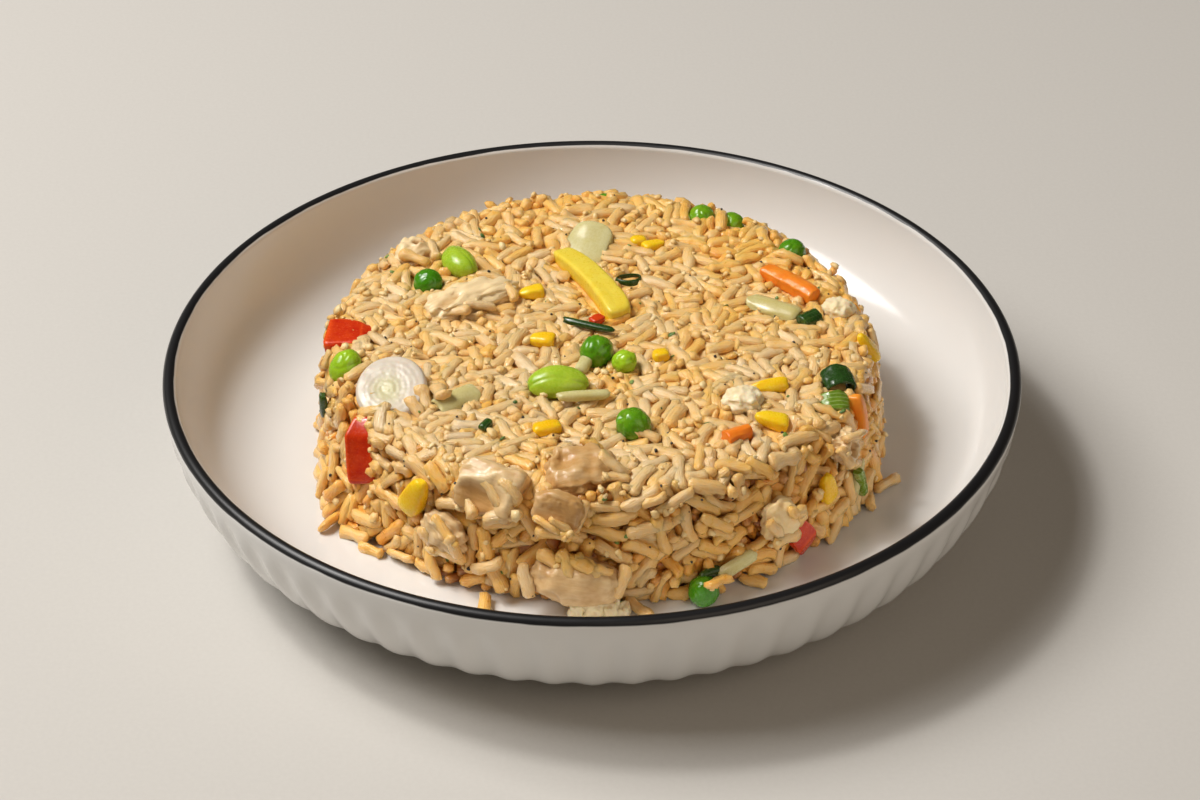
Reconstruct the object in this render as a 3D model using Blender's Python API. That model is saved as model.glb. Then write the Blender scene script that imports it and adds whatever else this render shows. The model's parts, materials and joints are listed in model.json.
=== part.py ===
"""Fried rice on its plate: a shallow fluted porcelain plate holding a pressed drum of rice.

Lengths are in millimetres until the meshes are finished, and metres in the scene.
The origin is on the table under the middle of the plate, +Z is up and -Y is the front.
"""
import math

import bmesh
import bpy
from mathutils import Matrix, Vector, noise

MM = 0.001                  # one millimetre in metres
GAP = 0.3                   # clearance between pieces that touch

# Plate
RIM_HEIGHT = 36.0
OUTER_RIM_RADIUS = 102.6    # the outer wall's superellipse starts here
OUTER_BASE_RADIUS = 55.9
OUTER_DEPTH = 33.2
OUTER_POWERS = (1.59, 4.33)
INNER_RIM_RADIUS = 99.4
FLOOR_RADIUS = 64.0
FLOOR_HEIGHT = 12.0
INNER_POWERS = (1.7, 4.5)
LIP_RADIUS = 1.6
LIP_CENTRE_RADIUS = 100.9
FLUTES = 64                 # each is a ridge vertex and a groove vertex of the outer wall
FLUTE_DEPTH = 0.8
FLUTE_START = 4.0           # depths below the rim between which the flutes grow
FLUTE_FULL = 10.0
FOOT_RADII = (61.5, 62.5, 65.5, 66.0)
RECESS_HEIGHT = 6.0
PLATE_SEGMENTS = FLUTES

# Rice drum
MOUND_CENTRE = (2.0, 0.0)
MOUND_TOP = 42.0
MOUND_BASE_RADIUS = 70.0
MOUND_SHOULDER_RADIUS = 66.5
MOUND_CORNER = 7.0
MOUND_UNEVENNESS = 1.1
MOUND_SEGMENTS = 48
POCKET_MARGIN = 5.0         # how far a pocket stays open above its topping

WHITE_GLAZE = (0.85, 0.82, 0.77)
RICE = (0.66, 0.42, 0.19)
PEA_GREEN = (0.12, 0.30, 0.02)
PALE_GREEN = (0.32, 0.50, 0.05)
LEEK_GREEN = (0.04, 0.14, 0.02)
CORN = (0.85, 0.52, 0.02)
PEPPER_YELLOW = (0.85, 0.62, 0.05)
CARROT = (0.85, 0.22, 0.01)
PEPPER_RED = (0.62, 0.03, 0.01)
CREAM = (0.80, 0.72, 0.52)
ONION = (0.62, 0.62, 0.34)
CHICKEN = (0.72, 0.55, 0.34)
EGG = (0.85, 0.72, 0.48)


def clear_scene():
    for existing in list(bpy.data.objects):
        bpy.data.objects.remove(existing, do_unlink=True)


def make_material(name, colour, roughness):
    material = bpy.data.materials.new(name)
    material.use_nodes = True
    shader = material.node_tree.nodes["Principled BSDF"]
    shader.inputs["Base Color"].default_value = (*colour, 1.0)
    shader.inputs["Roughness"].default_value = roughness
    shader.inputs["Metallic"].default_value = 0.0
    material.diffuse_color = (*colour, 1.0)
    return material


def make_object(name, bm, placement, colour, roughness):
    """Turn a mesh built in millimetres into an object in metres with its own material."""
    bmesh.ops.recalc_face_normals(bm, faces=bm.faces)
    bmesh.ops.scale(bm, vec=(MM, MM, MM), verts=bm.verts)
    mesh = bpy.data.meshes.new(name)
    bm.to_mesh(mesh)
    bm.free()
    mesh.shade_smooth()
    mesh.set_sharp_from_angle(angle=math.radians(50.0))
    made = bpy.data.objects.new(name, mesh)
    made.matrix_world = placement
    made.data.materials.append(make_material(name, colour, roughness))
    bpy.context.scene.collection.objects.link(made)
    return made


def superellipse_radius(depth, full_depth, base_radius, rim_radius, powers):
    """Radius of a bowl wall at a depth below the rim."""
    share = max(0.0, 1.0 - (depth / full_depth) ** powers[0])
    return base_radius + (rim_radius - base_radius) * share ** (1.0 / powers[1])


def outer_radius(depth):
    return superellipse_radius(depth, OUTER_DEPTH, OUTER_BASE_RADIUS, OUTER_RIM_RADIUS, OUTER_POWERS)


def inner_radius(depth):
    full_depth = RIM_HEIGHT - FLOOR_HEIGHT
    return superellipse_radius(depth, full_depth, FLOOR_RADIUS, INNER_RIM_RADIUS, INNER_POWERS)


# ---------------------------------------------------------------- turned shapes

def add_ring(bm, segments, radius, height, wave=0.0):
    """A ring of vertices; wave moves every second one out and the others in."""
    ring = []
    for index in range(segments):
        angle = 2.0 * math.pi * index / segments
        reach = radius + (wave if index % 2 == 0 else -wave)
        ring.append(bm.verts.new((reach * math.cos(angle), reach * math.sin(angle), height)))
    return ring


def bridge_rings(bm, first, second):
    """Join two rings, where one may have twice as many vertices as the other."""
    if len(first) == len(second):
        for index in range(len(first)):
            following = (index + 1) % len(first)
            bm.faces.new((first[index], first[following], second[following], second[index]))
        return
    coarse, fine = sorted((first, second), key=len)
    for index in range(len(coarse)):
        following = (index + 1) % len(coarse)
        middle = fine[2 * index + 1]
        bm.faces.new((coarse[index], fine[2 * index], middle))
        bm.faces.new((coarse[index], middle, coarse[following]))
        bm.faces.new((coarse[following], middle, fine[(2 * index + 2) % len(fine)]))


def cap_ring(bm, ring, height):
    centre_x = sum(vertex.co.x for vertex in ring) / len(ring)
    centre_y = sum(vertex.co.y for vertex in ring) / len(ring)
    centre = bm.verts.new((centre_x, centre_y, height))
    for index in range(len(ring)):
        bm.faces.new((ring[index], ring[(index + 1) % len(ring)], centre))


def build_plate():
    bm = bmesh.new()
    rings = []
    for depth in (24.0, 23.85, 22.6, 19.0, 11.5, LIP_RADIUS):
        rings.append(add_ring(bm, PLATE_SEGMENTS, inner_radius(depth), RIM_HEIGHT - depth))
    for angle in (math.radians(135.0), math.radians(90.0), math.radians(45.0)):
        radius = LIP_CENTRE_RADIUS + LIP_RADIUS * math.cos(angle)
        height = RIM_HEIGHT - LIP_RADIUS + LIP_RADIUS * math.sin(angle)
        rings.append(add_ring(bm, PLATE_SEGMENTS, radius, height))
    rings.append(add_ring(bm, PLATE_SEGMENTS, outer_radius(LIP_RADIUS), RIM_HEIGHT - LIP_RADIUS))
    for depth in (FLUTE_START, FLUTE_FULL, 18.0, 26.0, 31.5):
        growth = min(1.0, (depth - FLUTE_START) / (FLUTE_FULL - FLUTE_START))
        wave = 0.5 * FLUTE_DEPTH * growth
        rings.append(add_ring(bm, 2 * PLATE_SEGMENTS, outer_radius(depth), RIM_HEIGHT - depth, wave))
    foot_top = RIM_HEIGHT - OUTER_DEPTH
    recess_edge, foot_inside, foot_outside, foot_root = FOOT_RADII
    rings.append(add_ring(bm, PLATE_SEGMENTS, foot_root, foot_top))
    rings.append(add_ring(bm, PLATE_SEGMENTS, foot_outside, 0.0))
    rings.append(add_ring(bm, PLATE_SEGMENTS, foot_inside, 0.0))
    rings.append(add_ring(bm, PLATE_SEGMENTS, recess_edge, RECESS_HEIGHT))
    for first, second in zip(rings, rings[1:]):
        bridge_rings(bm, first, second)
    cap_ring(bm, rings[0], FLOOR_HEIGHT)
    cap_ring(bm, rings[-1], RECESS_HEIGHT)
    return make_object("plate", bm, Matrix.Identity(4), WHITE_GLAZE, 0.15)


def build_rice():
    """The pressed drum, uneven all over, standing just clear of the plate's floor."""
    base = FLOOR_HEIGHT + GAP
    profile = [(MOUND_BASE_RADIUS - 1.0, base), (MOUND_BASE_RADIUS, base + 2.0)]
    corner_height = MOUND_TOP - MOUND_CORNER
    for share in (0.35, 0.7, 1.0):
        radius = MOUND_BASE_RADIUS + share * (MOUND_SHOULDER_RADIUS - MOUND_BASE_RADIUS)
        profile.append((radius, base + 2.0 + share * (corner_height - base - 2.0)))
    corner_radius = MOUND_SHOULDER_RADIUS - MOUND_CORNER
    for angle in (math.radians(35.0), math.radians(65.0), math.radians(90.0)):
        profile.append((corner_radius + MOUND_CORNER * math.cos(angle),
                        corner_height + MOUND_CORNER * math.sin(angle)))
    for radius in (46.0, 31.0, 16.0):
        profile.append((radius, MOUND_TOP))

    bm = bmesh.new()
    rings = [add_ring(bm, MOUND_SEGMENTS, radius, height) for radius, height in profile]
    for ring in rings:
        for vertex in ring:
            spot = vertex.co / 9.0
            swell = MOUND_UNEVENNESS * (noise.noise(spot) + 0.5 * noise.noise(2.1 * spot))
            outward = Vector((vertex.co.x, vertex.co.y, 0.0)).normalized()
            on_top = vertex.co.xy.length <= corner_radius + GAP
            if on_top:
                vertex.co.z += swell
            else:
                vertex.co += outward * 1.5 * swell
    for first, second in zip(rings, rings[1:]):
        bridge_rings(bm, first, second)
    cap_ring(bm, rings[0], base)
    cap_ring(bm, rings[-1], MOUND_TOP)
    placement = Matrix.Translation((MOUND_CENTRE[0] * MM, MOUND_CENTRE[1] * MM, 0.0))
    return make_object("rice", bm, placement, RICE, 0.45)


# ---------------------------------------------------------------- topping shapes
# Each is centred on its origin, with its length along X, its width along Y and
# the side that faces out of the rice along +Z.

def lump(length, width, thickness, roughness=0.0, seed=0.0):
    """A rounded piece, smooth for a pea and rough for torn chicken or egg."""
    bm = bmesh.new()
    bmesh.ops.create_icosphere(bm, subdivisions=2, radius=1.0)
    for vertex in bm.verts:
        spot = vertex.co * 1.4 + Vector((seed, 2.0 * seed, -seed))
        reach = 1.0 + roughness * (noise.noise(spot) + 0.6 * noise.noise(2.3 * spot))
        stretched = Vector((vertex.co.x * length, vertex.co.y * width, vertex.co.z * thickness))
        vertex.co = 0.5 * reach * stretched
    return bm


def kidney(length, width, thickness):
    """A plump bean, bent a little along its length."""
    bm = lump(length, width, thickness)
    for vertex in bm.verts:
        share = vertex.co.x / (0.5 * length)
        vertex.co.y += 0.16 * width * (0.5 - share * share)
    return bm


def kernel(length, width, thickness):
    """A corn kernel: a broad rounded crown that narrows to its tip at -X."""
    bm = bmesh.new()
    bmesh.ops.create_cube(bm, size=2.0)
    bmesh.ops.subdivide_edges(bm, edges=bm.edges, cuts=1, use_grid_fill=True)
    for vertex in bm.verts:
        round_spot = vertex.co.normalized()
        spot = vertex.co.lerp(round_spot, 0.72)
        narrow = 0.82 + 0.26 * spot.x
        vertex.co = Vector((spot.x * length, spot.y * width * narrow, spot.z * thickness * narrow)) * 0.5
    return bm


def slab(length, width, thickness, bow=0.0, arch=0.0, taper=1.0, twist=0.0, stations=5):
    """A cut strip or a piece of skin.

    bow bends it sideways along its length, arch curls its long edges down and
    taper is the width at its far end as a share of the near one.
    """
    bm = bmesh.new()
    across = (-0.5, -0.22, 0.22, 0.5)
    rows = []
    for station in range(stations):
        share = station / (stations - 1)
        bend = bow * (1.0 - (2.0 * share - 1.0) ** 2)
        end_width = width * (1.0 + (taper - 1.0) * share)
        if station in (0, stations - 1):
            end_width *= 0.86
        turn = Matrix.Rotation(math.radians(twist) * (share - 0.5), 3, "X")
        row = []
        for side, order in ((1.0, across), (-1.0, tuple(reversed(across)))):
            for place in order:
                edge = 0.62 if abs(place) > 0.4 else 1.0
                spot = Vector(((share - 0.5) * length, place * end_width + bend,
                               side * 0.5 * thickness * edge - arch * (2.0 * place) ** 2))
                row.append(bm.verts.new(turn @ spot))
        rows.append(row)
    for first, second in zip(rows, rows[1:]):
        bridge_rings(bm, first, second)
    bm.faces.new(rows[0])
    bm.faces.new(rows[-1])
    return bm


def ringed_disc(diameter, thickness, oval=0.92):
    """A slice across a leek, its layers standing up as shallow steps."""
    bm = bmesh.new()
    radius = 0.5 * diameter
    half = 0.5 * thickness
    steps = ((0.30, half), (0.62, half + 0.25), (0.92, half), (1.0, 0.2 * half), (0.94, -half))
    rings = [add_ring(bm, 18, share * radius, height) for share, height in steps]
    for first, second in zip(rings, rings[1:]):
        bridge_rings(bm, first, second)
    cap_ring(bm, rings[0], half + 0.2)
    cap_ring(bm, rings[-1], -half)
    bmesh.ops.scale(bm, vec=(1.0, oval, 1.0), verts=bm.verts)
    return bm


def hollow_stalk(length, diameter, wall, flatness=1.0, segments=10):
    """A short open tube lying along X."""
    bm = bmesh.new()
    outside = 0.5 * diameter
    inside = outside - wall
    rings = [add_ring(bm, segments, outside, -0.5 * length), add_ring(bm, segments, outside, 0.5 * length),
             add_ring(bm, segments, inside, 0.5 * length), add_ring(bm, segments, inside, -0.5 * length)]
    for first, second in zip(rings, rings[1:] + rings[:1]):
        bridge_rings(bm, first, second)
    bmesh.ops.scale(bm, vec=(flatness, 1.0, 1.0), verts=bm.verts)
    lie_down = Matrix.Rotation(math.radians(90.0), 3, "Y")
    bmesh.ops.rotate(bm, cent=(0.0, 0.0, 0.0), matrix=lie_down, verts=bm.verts)
    return bm


# ---------------------------------------------------------------- placing toppings

def drum_spot(radius, azimuth, height):
    """A translation to a place given by its distance and direction from the drum's axis."""
    angle = math.radians(azimuth)
    spot = Vector((MOUND_CENTRE[0] + radius * math.cos(angle),
                   MOUND_CENTRE[1] + radius * math.sin(angle), height))
    return Matrix.Translation(spot * MM)


def on_top(radius, azimuth, heading, rise=0.0, tip=0.0, roll=0.0):
    """Lying on the drum's top: heading turns the length, tip lowers its far end."""
    turn = (Matrix.Rotation(math.radians(heading), 4, "Z") @ Matrix.Rotation(math.radians(tip), 4, "Y")
            @ Matrix.Rotation(math.radians(roll), 4, "X"))
    return drum_spot(radius, azimuth, MOUND_TOP + rise) @ turn


def on_side(radius, azimuth, height, turn=0.0, lift=0.0):
    """Set in the drum's side: turn 0 stands the length upright, 90 lays it level.

    lift tips the outward face up, from 0 on the wall towards 90 on the top.
    """
    around = Matrix.Rotation(math.radians(azimuth), 4, "Z")
    facing = Matrix.Rotation(math.radians(90.0 - lift), 4, "Y")
    spin = Matrix.Rotation(math.radians(turn), 4, "Z")
    return drum_spot(radius, azimuth, height) @ around @ facing @ spin


def build_peas():
    peas = {
        "pea_back_left": (7.8, 7.2, on_top(47.0, 152.0, 20.0, -0.6)),
        "pea_left": (9.6, 7.2, on_side(61.5, 192.0, 40.2, 10.0, 35.0)),
        "pea_centre": (8.6, 8.2, on_top(10.0, 265.0, 30.0, 0.6)),
        "pea_small": (6.4, 6.0, on_top(15.5, 296.0, 0.0, 0.7)),
        "pea_front": (8.8, 8.3, on_top(39.0, 281.0, -40.0, 0.4)),
        "pea_back_a": (7.2, 7.0, on_top(60.0, 65.0, 0.0, -0.6)),
        "pea_back_b": (7.2, 6.8, on_top(62.0, 57.4, 0.0, -1.6)),
        "pea_right": (7.8, 7.2, on_top(60.0, 37.0, 60.0, -0.8)),
        "pea_base": (7.8, 7.5, on_side(70.6, 289.0, 16.6)),
        "pea_peep": (7.0, 6.8, on_top(62.5, 89.0, 0.0, -1.2)),
    }
    made = []
    for name, (length, width, placement) in peas.items():
        bm = lump(length, width, width, 0.03, seed=len(made))
        made.append(make_object(name, bm, placement, PEA_GREEN, 0.25))
    beans = {
        "bean_centre": (14.6, 8.6, 6.4, on_top(25.5, 247.0, 2.0, 0.2, 0.0, 20.0)),
        "bean_back_left": (10.5, 7.6, 6.6, on_top(46.0, 138.0, 118.0)),
    }
    for name, (length, width, thickness, placement) in beans.items():
        made.append(make_object(name, kidney(length, width, thickness), placement, PALE_GREEN, 0.25))
    return made


def build_corn():
    kernels = {
        "corn_a": (6.5, 5.2, 4.4, on_top(24.0, 134.0, 15.0, -0.4)),
        "corn_b": (6.8, 6.0, 4.4, on_top(14.5, 195.0, -10.0, -0.3)),
        "corn_c": (6.4, 4.8, 4.2, on_top(41.0, 71.0, 30.0, -0.6)),
        "corn_e": (9.2, 5.0, 5.0, on_top(45.6, 329.5, 12.0, -0.4, 0.0, 40.0)),
        "corn_f": (8.2, 6.4, 4.8, on_top(53.5, 317.0, -10.0, -0.6, 14.0)),
        "corn_g": (9.0, 5.6, 4.6, on_side(63.8, 357.0, 39.2, 8.0, 30.0)),
        "corn_h": (8.2, 6.4, 4.8, on_side(67.8, 320.0, 27.5, 10.0)),
        "corn_j": (8.8, 6.6, 5.0, on_side(67.2, 232.0, 31.8, -25.0)),
    }
    return [make_object(name, kernel(length, width, thickness), placement, CORN, 0.3)
            for name, (length, width, thickness, placement) in kernels.items()]


def build_strips():
    """Carrot and pepper, cut or torn."""
    return [
        make_object("carrot_a", slab(16.5, 5.2, 4.2, bow=0.8, taper=0.9, twist=10.0),
                    on_top(50.9, 24.0, -46.0, -0.5), CARROT, 0.35),
        make_object("carrot_b", slab(11.5, 3.8, 4.4, bow=0.3, stations=4),
                    on_side(66.8, 336.2, 35.6, -4.0, 12.0), CARROT, 0.35),
        make_object("carrot_c", slab(6.4, 4.6, 4.2, taper=0.7, stations=3),
                    on_top(52.8, 306.0, 30.0, -0.6), CARROT, 0.35),
        make_object("pepper_yellow", slab(32.0, 6.6, 4.6, bow=2.2, arch=0.7, taper=1.12, stations=6),
                    on_top(20.8, 96.0, -62.5, 0.2), PEPPER_YELLOW, 0.3),
        make_object("pepper_red_a", slab(11.5, 9.0, 2.6, arch=1.7, taper=0.55, stations=4),
                    on_side(62.6, 179.0, 40.0, 172.0, 42.0), PEPPER_RED, 0.22),
        make_object("pepper_red_b", slab(14.5, 7.6, 2.6, arch=1.8, taper=0.8, twist=14.0),
                    on_side(67.0, 213.0, 33.2, 18.0, 10.0), PEPPER_RED, 0.22),
        make_object("pepper_red_c", slab(8.2, 7.6, 2.6, arch=1.3, taper=0.6, stations=4),
                    on_side(69.0, 312.5, 18.4, 30.0), PEPPER_RED, 0.22),
    ]


def build_leeks():
    """The pale leek slice, the onion and the dark green cut stalks."""
    return [
        make_object("leek_slice", ringed_disc(18.8, 3.0),
                    on_top(54.2, 206.5, -85.0, -0.4, 19.0, 8.0), CREAM, 0.3),
        make_object("leek_back", slab(11.5, 9.6, 3.4, arch=0.8, taper=0.8, stations=4),
                    on_top(39.6, 89.6, 70.0), ONION, 0.3),
        make_object("onion_left", slab(10.0, 7.0, 2.8, arch=0.8, taper=0.7, stations=4),
                    on_top(43.2, 219.5, 35.0, -0.2), ONION, 0.3),
        make_object("onion_right", slab(12.0, 6.0, 2.8, arch=0.8, taper=0.8, stations=4),
                    on_top(43.6, 14.0, -30.0, -0.1), ONION, 0.3),
        make_object("scallion_ring", hollow_stalk(4.2, 8.0, 1.1, 0.55),
                    on_top(24.5, 73.0, 8.0, -0.6, 90.0), LEEK_GREEN, 0.3),
        make_object("scallion_right", slab(5.6, 4.8, 2.6, arch=0.8, stations=3),
                    on_top(50.6, 6.5, 40.0, -0.1), LEEK_GREEN, 0.3),
        make_object("scallion_tube", hollow_stalk(6.4, 8.0, 1.3, 0.7),
                    on_top(58.8, 340.6, -78.0, -1.4, 8.0), LEEK_GREEN, 0.25),
        make_object("scallion_ribbed", slab(5.2, 7.2, 3.4, arch=0.7, stations=4),
                    on_top(60.8, 332.8, -80.0, -1.8, 22.0), LEEK_GREEN, 0.3),
        make_object("scallion_stalk", slab(10.0, 2.6, 2.4, bow=0.6, stations=4),
                    on_side(69.2, 331.0, 21.6, 24.0), LEEK_GREEN, 0.3),
    ]


def build_chicken():
    """Torn chicken and egg, the larger pieces first."""
    chunks = {
        "chicken_back": (23.0, 11.0, 7.0, 0.30, on_top(34.3, 155.0, 31.0, -0.2)),
        "chicken_shoulder": (14.5, 11.0, 8.6, 0.26, on_side(63.8, 247.6, 38.4, 82.0, 40.0)),
        "chicken_edge": (16.0, 13.0, 8.0, 0.28, on_top(56.0, 265.5, 8.0, -1.6, 0.0, 14.0)),
        "chicken_slab": (8.4, 7.0, 4.4, 0.16, on_side(66.8, 258.8, 33.6, 80.0, 12.0)),
        "chicken_base": (21.0, 10.5, 7.0, 0.24, on_side(68.4, 265.0, 20.6, 84.0, 10.0)),
        "chicken_left": (12.0, 8.0, 6.0, 0.28, on_side(67.4, 238.5, 25.4, 55.0)),
        "chicken_right": (8.4, 7.4, 6.0, 0.26, on_side(67.0, 326.5, 34.2, 20.0, 8.0)),
        "chicken_corner": (9.0, 7.6, 6.4, 0.24, on_top(58.4, 142.0, 60.0, -0.8)),
        "egg_front": (7.0, 6.4, 5.2, 0.30, on_top(43.8, 317.6, 10.0, 0.2)),
        "egg_right": (6.0, 5.4, 4.8, 0.30, on_top(58.4, 9.5, 30.0, -0.6)),
        "egg_side": (8.6, 8.0, 5.6, 0.30, on_side(68.0, 306.5, 27.4, 30.0)),
    }
    made = []
    for name, (length, width, thickness, roughness, placement) in chunks.items():
        bm = lump(length, width, thickness, roughness, seed=3.7 + 1.3 * len(made))
        colour = EGG if name.startswith("egg") else CHICKEN
        made.append(make_object(name, bm, placement, colour, 0.4))
    return made


def add_pocket(bm, topping, sides):
    """A prism round one topping, along its outward axis."""
    spots = [vertex.co / MM for vertex in topping.data.vertices]
    lows = [min(spot[axis] for spot in spots) - GAP for axis in range(3)]
    highs = [max(spot[axis] for spot in spots) + GAP for axis in range(3)]
    half_length = 0.5 * (highs[0] - lows[0])
    half_width = 0.5 * (highs[1] - lows[1])
    middle_x = 0.5 * (lows[0] + highs[0])
    middle_y = 0.5 * (lows[1] + highs[1])
    reach = 1.0 / math.cos(math.pi / sides)
    if sides > 4:
        reach *= max(math.hypot((spot.x - middle_x) / half_length, (spot.y - middle_y) / half_width)
                     for spot in spots)
    rings = []
    for height in (lows[2], highs[2] + POCKET_MARGIN):
        ring = add_ring(bm, sides, reach, height)
        for vertex in ring:
            vertex.co = Matrix.Rotation(math.pi / sides, 3, "Z") @ vertex.co
            vertex.co.x = middle_x + vertex.co.x * half_length
            vertex.co.y = middle_y + vertex.co.y * half_width
        rings.append(ring)
    sides_made = [bm.faces.new((rings[0][index], rings[0][(index + 1) % sides],
                                rings[1][(index + 1) % sides], rings[1][index])) for index in range(sides)]
    caps_made = [bm.faces.new(rings[0]), bm.faces.new(rings[1])]
    bmesh.ops.recalc_face_normals(bm, faces=sides_made + caps_made)
    bmesh.ops.transform(bm, matrix=topping.matrix_world @ Matrix.Scale(MM, 4), verts=rings[0] + rings[1])


def make_pockets(rounded, cut):
    """One hidden cutter that makes room in the rice for every topping."""
    bm = bmesh.new()
    for topping in rounded:
        add_pocket(bm, topping, 8)
    for topping in cut:
        add_pocket(bm, topping, 4)
    mesh = bpy.data.meshes.new("pockets")
    bm.to_mesh(mesh)
    bm.free()
    cutter = bpy.data.objects.new("pockets", mesh)
    cutter.hide_render = True
    cutter.display_type = "WIRE"
    bpy.context.scene.collection.objects.link(cutter)
    return cutter


def main():
    clear_scene()
    build_plate()
    rice = build_rice()
    rounded = build_peas() + build_chicken()
    cut = build_corn() + build_strips() + build_leeks()
    bpy.context.view_layer.update()
    carve = rice.modifiers.new("pockets", "BOOLEAN")
    carve.operation = "DIFFERENCE"
    carve.solver = "EXACT"
    carve.use_self = True
    carve.object = make_pockets(rounded, cut)


main()
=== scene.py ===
import json
import math
import bmesh
import bpy
import numpy as np
from mathutils import Matrix, Vector, noise

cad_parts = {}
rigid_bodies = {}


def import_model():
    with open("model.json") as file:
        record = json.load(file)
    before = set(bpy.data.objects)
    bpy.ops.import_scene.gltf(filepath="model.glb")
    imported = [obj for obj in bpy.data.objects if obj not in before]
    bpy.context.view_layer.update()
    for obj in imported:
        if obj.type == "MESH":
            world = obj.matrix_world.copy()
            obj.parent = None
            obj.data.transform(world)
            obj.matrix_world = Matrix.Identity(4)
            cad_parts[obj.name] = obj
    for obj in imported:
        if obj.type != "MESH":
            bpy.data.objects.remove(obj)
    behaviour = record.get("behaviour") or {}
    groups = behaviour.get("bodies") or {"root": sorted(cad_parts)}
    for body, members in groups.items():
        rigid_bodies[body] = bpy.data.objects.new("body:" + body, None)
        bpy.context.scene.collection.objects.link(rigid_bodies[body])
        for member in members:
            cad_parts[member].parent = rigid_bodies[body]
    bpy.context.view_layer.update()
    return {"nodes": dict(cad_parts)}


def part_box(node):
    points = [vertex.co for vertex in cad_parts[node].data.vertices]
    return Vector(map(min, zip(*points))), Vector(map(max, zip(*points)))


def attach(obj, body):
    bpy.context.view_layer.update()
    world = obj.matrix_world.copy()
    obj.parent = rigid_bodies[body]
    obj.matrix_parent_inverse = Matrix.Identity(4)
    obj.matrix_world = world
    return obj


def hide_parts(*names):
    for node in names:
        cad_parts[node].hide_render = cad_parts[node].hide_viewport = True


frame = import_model()
scene = bpy.context.scene
mm = 0.001
print("frame loaded")

riceLow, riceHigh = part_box("rice")


# camera, at the height and distance of someone about to sit down to the plate
cameraLook = {"spot": (0.0, -0.5642, 0.4163), "aim": (0.0019, 0.0, 0.0216), "lens": 85.0}


def addCamera():
    data = bpy.data.cameras.new("mainCamera")
    data.lens = cameraLook["lens"]
    camera = bpy.data.objects.new("mainCamera", data)
    spot = Vector(cameraLook["spot"])
    camera.location = spot
    camera.rotation_euler = (Vector(cameraLook["aim"]) - spot).to_track_quat("-Z", "Y").to_euler()
    scene.collection.objects.link(camera)
    scene.camera = camera


addCamera()
print("camera placed")


# small helpers for node trees and meshes

def addNode(tree, kind, inputs=None, **settings):
    node = tree.nodes.new(kind)
    for name, value in settings.items():
        setattr(node, name, value)
    for key, value in (inputs or {}).items():
        if isinstance(value, bpy.types.NodeSocket):
            tree.links.new(value, node.inputs[key])
        else:
            node.inputs[key].default_value = value
    return node


def newMaterial(name):
    material = bpy.data.materials.new(name)
    material.use_nodes = True
    tree = material.node_tree
    return material, tree, tree.nodes["Principled BSDF"]


def setShader(shader, **values):
    names = {"colour": "Base Color", "roughness": "Roughness", "subsurface": "Subsurface Weight",
             "radius": "Subsurface Radius", "scale": "Subsurface Scale", "coat": "Coat Weight",
             "coatRoughness": "Coat Roughness", "ior": "IOR", "normal": "Normal", "coatNormal": "Coat Normal"}
    tree = shader.id_data
    for key, value in values.items():
        if isinstance(value, bpy.types.NodeSocket):
            tree.links.new(value, shader.inputs[names[key]])
        else:
            shader.inputs[names[key]].default_value = value


def ramp(tree, factor, stops):
    node = addNode(tree, "ShaderNodeValToRGB", {"Fac": factor})
    elements = node.color_ramp.elements
    while len(elements) < len(stops):
        elements.new(1.0)
    for element, (place, colour) in zip(elements, stops):
        element.position = place
        element.color = (*colour, 1.0) if len(colour) == 3 else colour
    return node.outputs["Color"]


def mixColour(tree, share, first, second):
    node = addNode(tree, "ShaderNodeMix", data_type="RGBA")
    for index, value in ((0, share), (6, first), (7, second)):
        if isinstance(value, bpy.types.NodeSocket):
            tree.links.new(value, node.inputs[index])
        elif index == 0:
            node.inputs[index].default_value = value
        else:
            node.inputs[index].default_value = (*value, 1.0)
    return node.outputs[2]


def mathNode(tree, operation, first, second=0.0):
    return addNode(tree, "ShaderNodeMath", {0: first, 1: second}, operation=operation).outputs[0]


def mapRange(tree, value, low, high, outLow=0.0, outHigh=1.0):
    return addNode(tree, "ShaderNodeMapRange", {"Value": value, "From Min": low, "From Max": high,
                                                "To Min": outLow, "To Max": outHigh},
                   interpolation_type="SMOOTHSTEP").outputs[0]


def splitVector(tree, vector):
    return addNode(tree, "ShaderNodeSeparateXYZ", {0: vector}).outputs


def stretchVector(tree, vector, factors):
    return addNode(tree, "ShaderNodeVectorMath", {0: vector, 1: factors}, operation="MULTIPLY").outputs[0]


def centred(tree, value, amount):
    # a value about a half, turned into one about zero
    return mathNode(tree, "MULTIPLY", mathNode(tree, "SUBTRACT", value, 0.5), amount)


def objectSpot(tree):
    return addNode(tree, "ShaderNodeTexCoord").outputs["Object"]


def attributeNode(tree, name):
    return addNode(tree, "ShaderNodeAttribute", attribute_name=name)


def noiseNode(tree, vector, scale, detail=2.0, roughness=0.5):
    return addNode(tree, "ShaderNodeTexNoise", {"Vector": vector, "Scale": scale, "Detail": detail,
                                                "Roughness": roughness}).outputs["Fac"]


def bumpNode(tree, height, distance, strength=1.0):
    return addNode(tree, "ShaderNodeBump", {"Height": height, "Distance": distance,
                                            "Strength": strength}).outputs["Normal"]


def startTree(name, **inputs):
    # a geometry node group, its own inputs given as label = kind of socket
    tree = bpy.data.node_groups.new(name, "GeometryNodeTree")
    for label, kind in {"Geometry": "Geometry", **inputs}.items():
        tree.interface.new_socket(label, in_out="INPUT", socket_type="NodeSocket" + kind)
    tree.interface.new_socket("Geometry", in_out="OUTPUT", socket_type="NodeSocketGeometry")
    return tree, addNode(tree, "NodeGroupInput").outputs


def endTree(tree, geometry, material):
    real = addNode(tree, "GeometryNodeRealizeInstances", {"Geometry": geometry})
    done = addNode(tree, "GeometryNodeSetMaterial", {"Geometry": real.outputs[0], "Material": material})
    addNode(tree, "NodeGroupOutput", {"Geometry": done.outputs[0]})
    return tree


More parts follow.
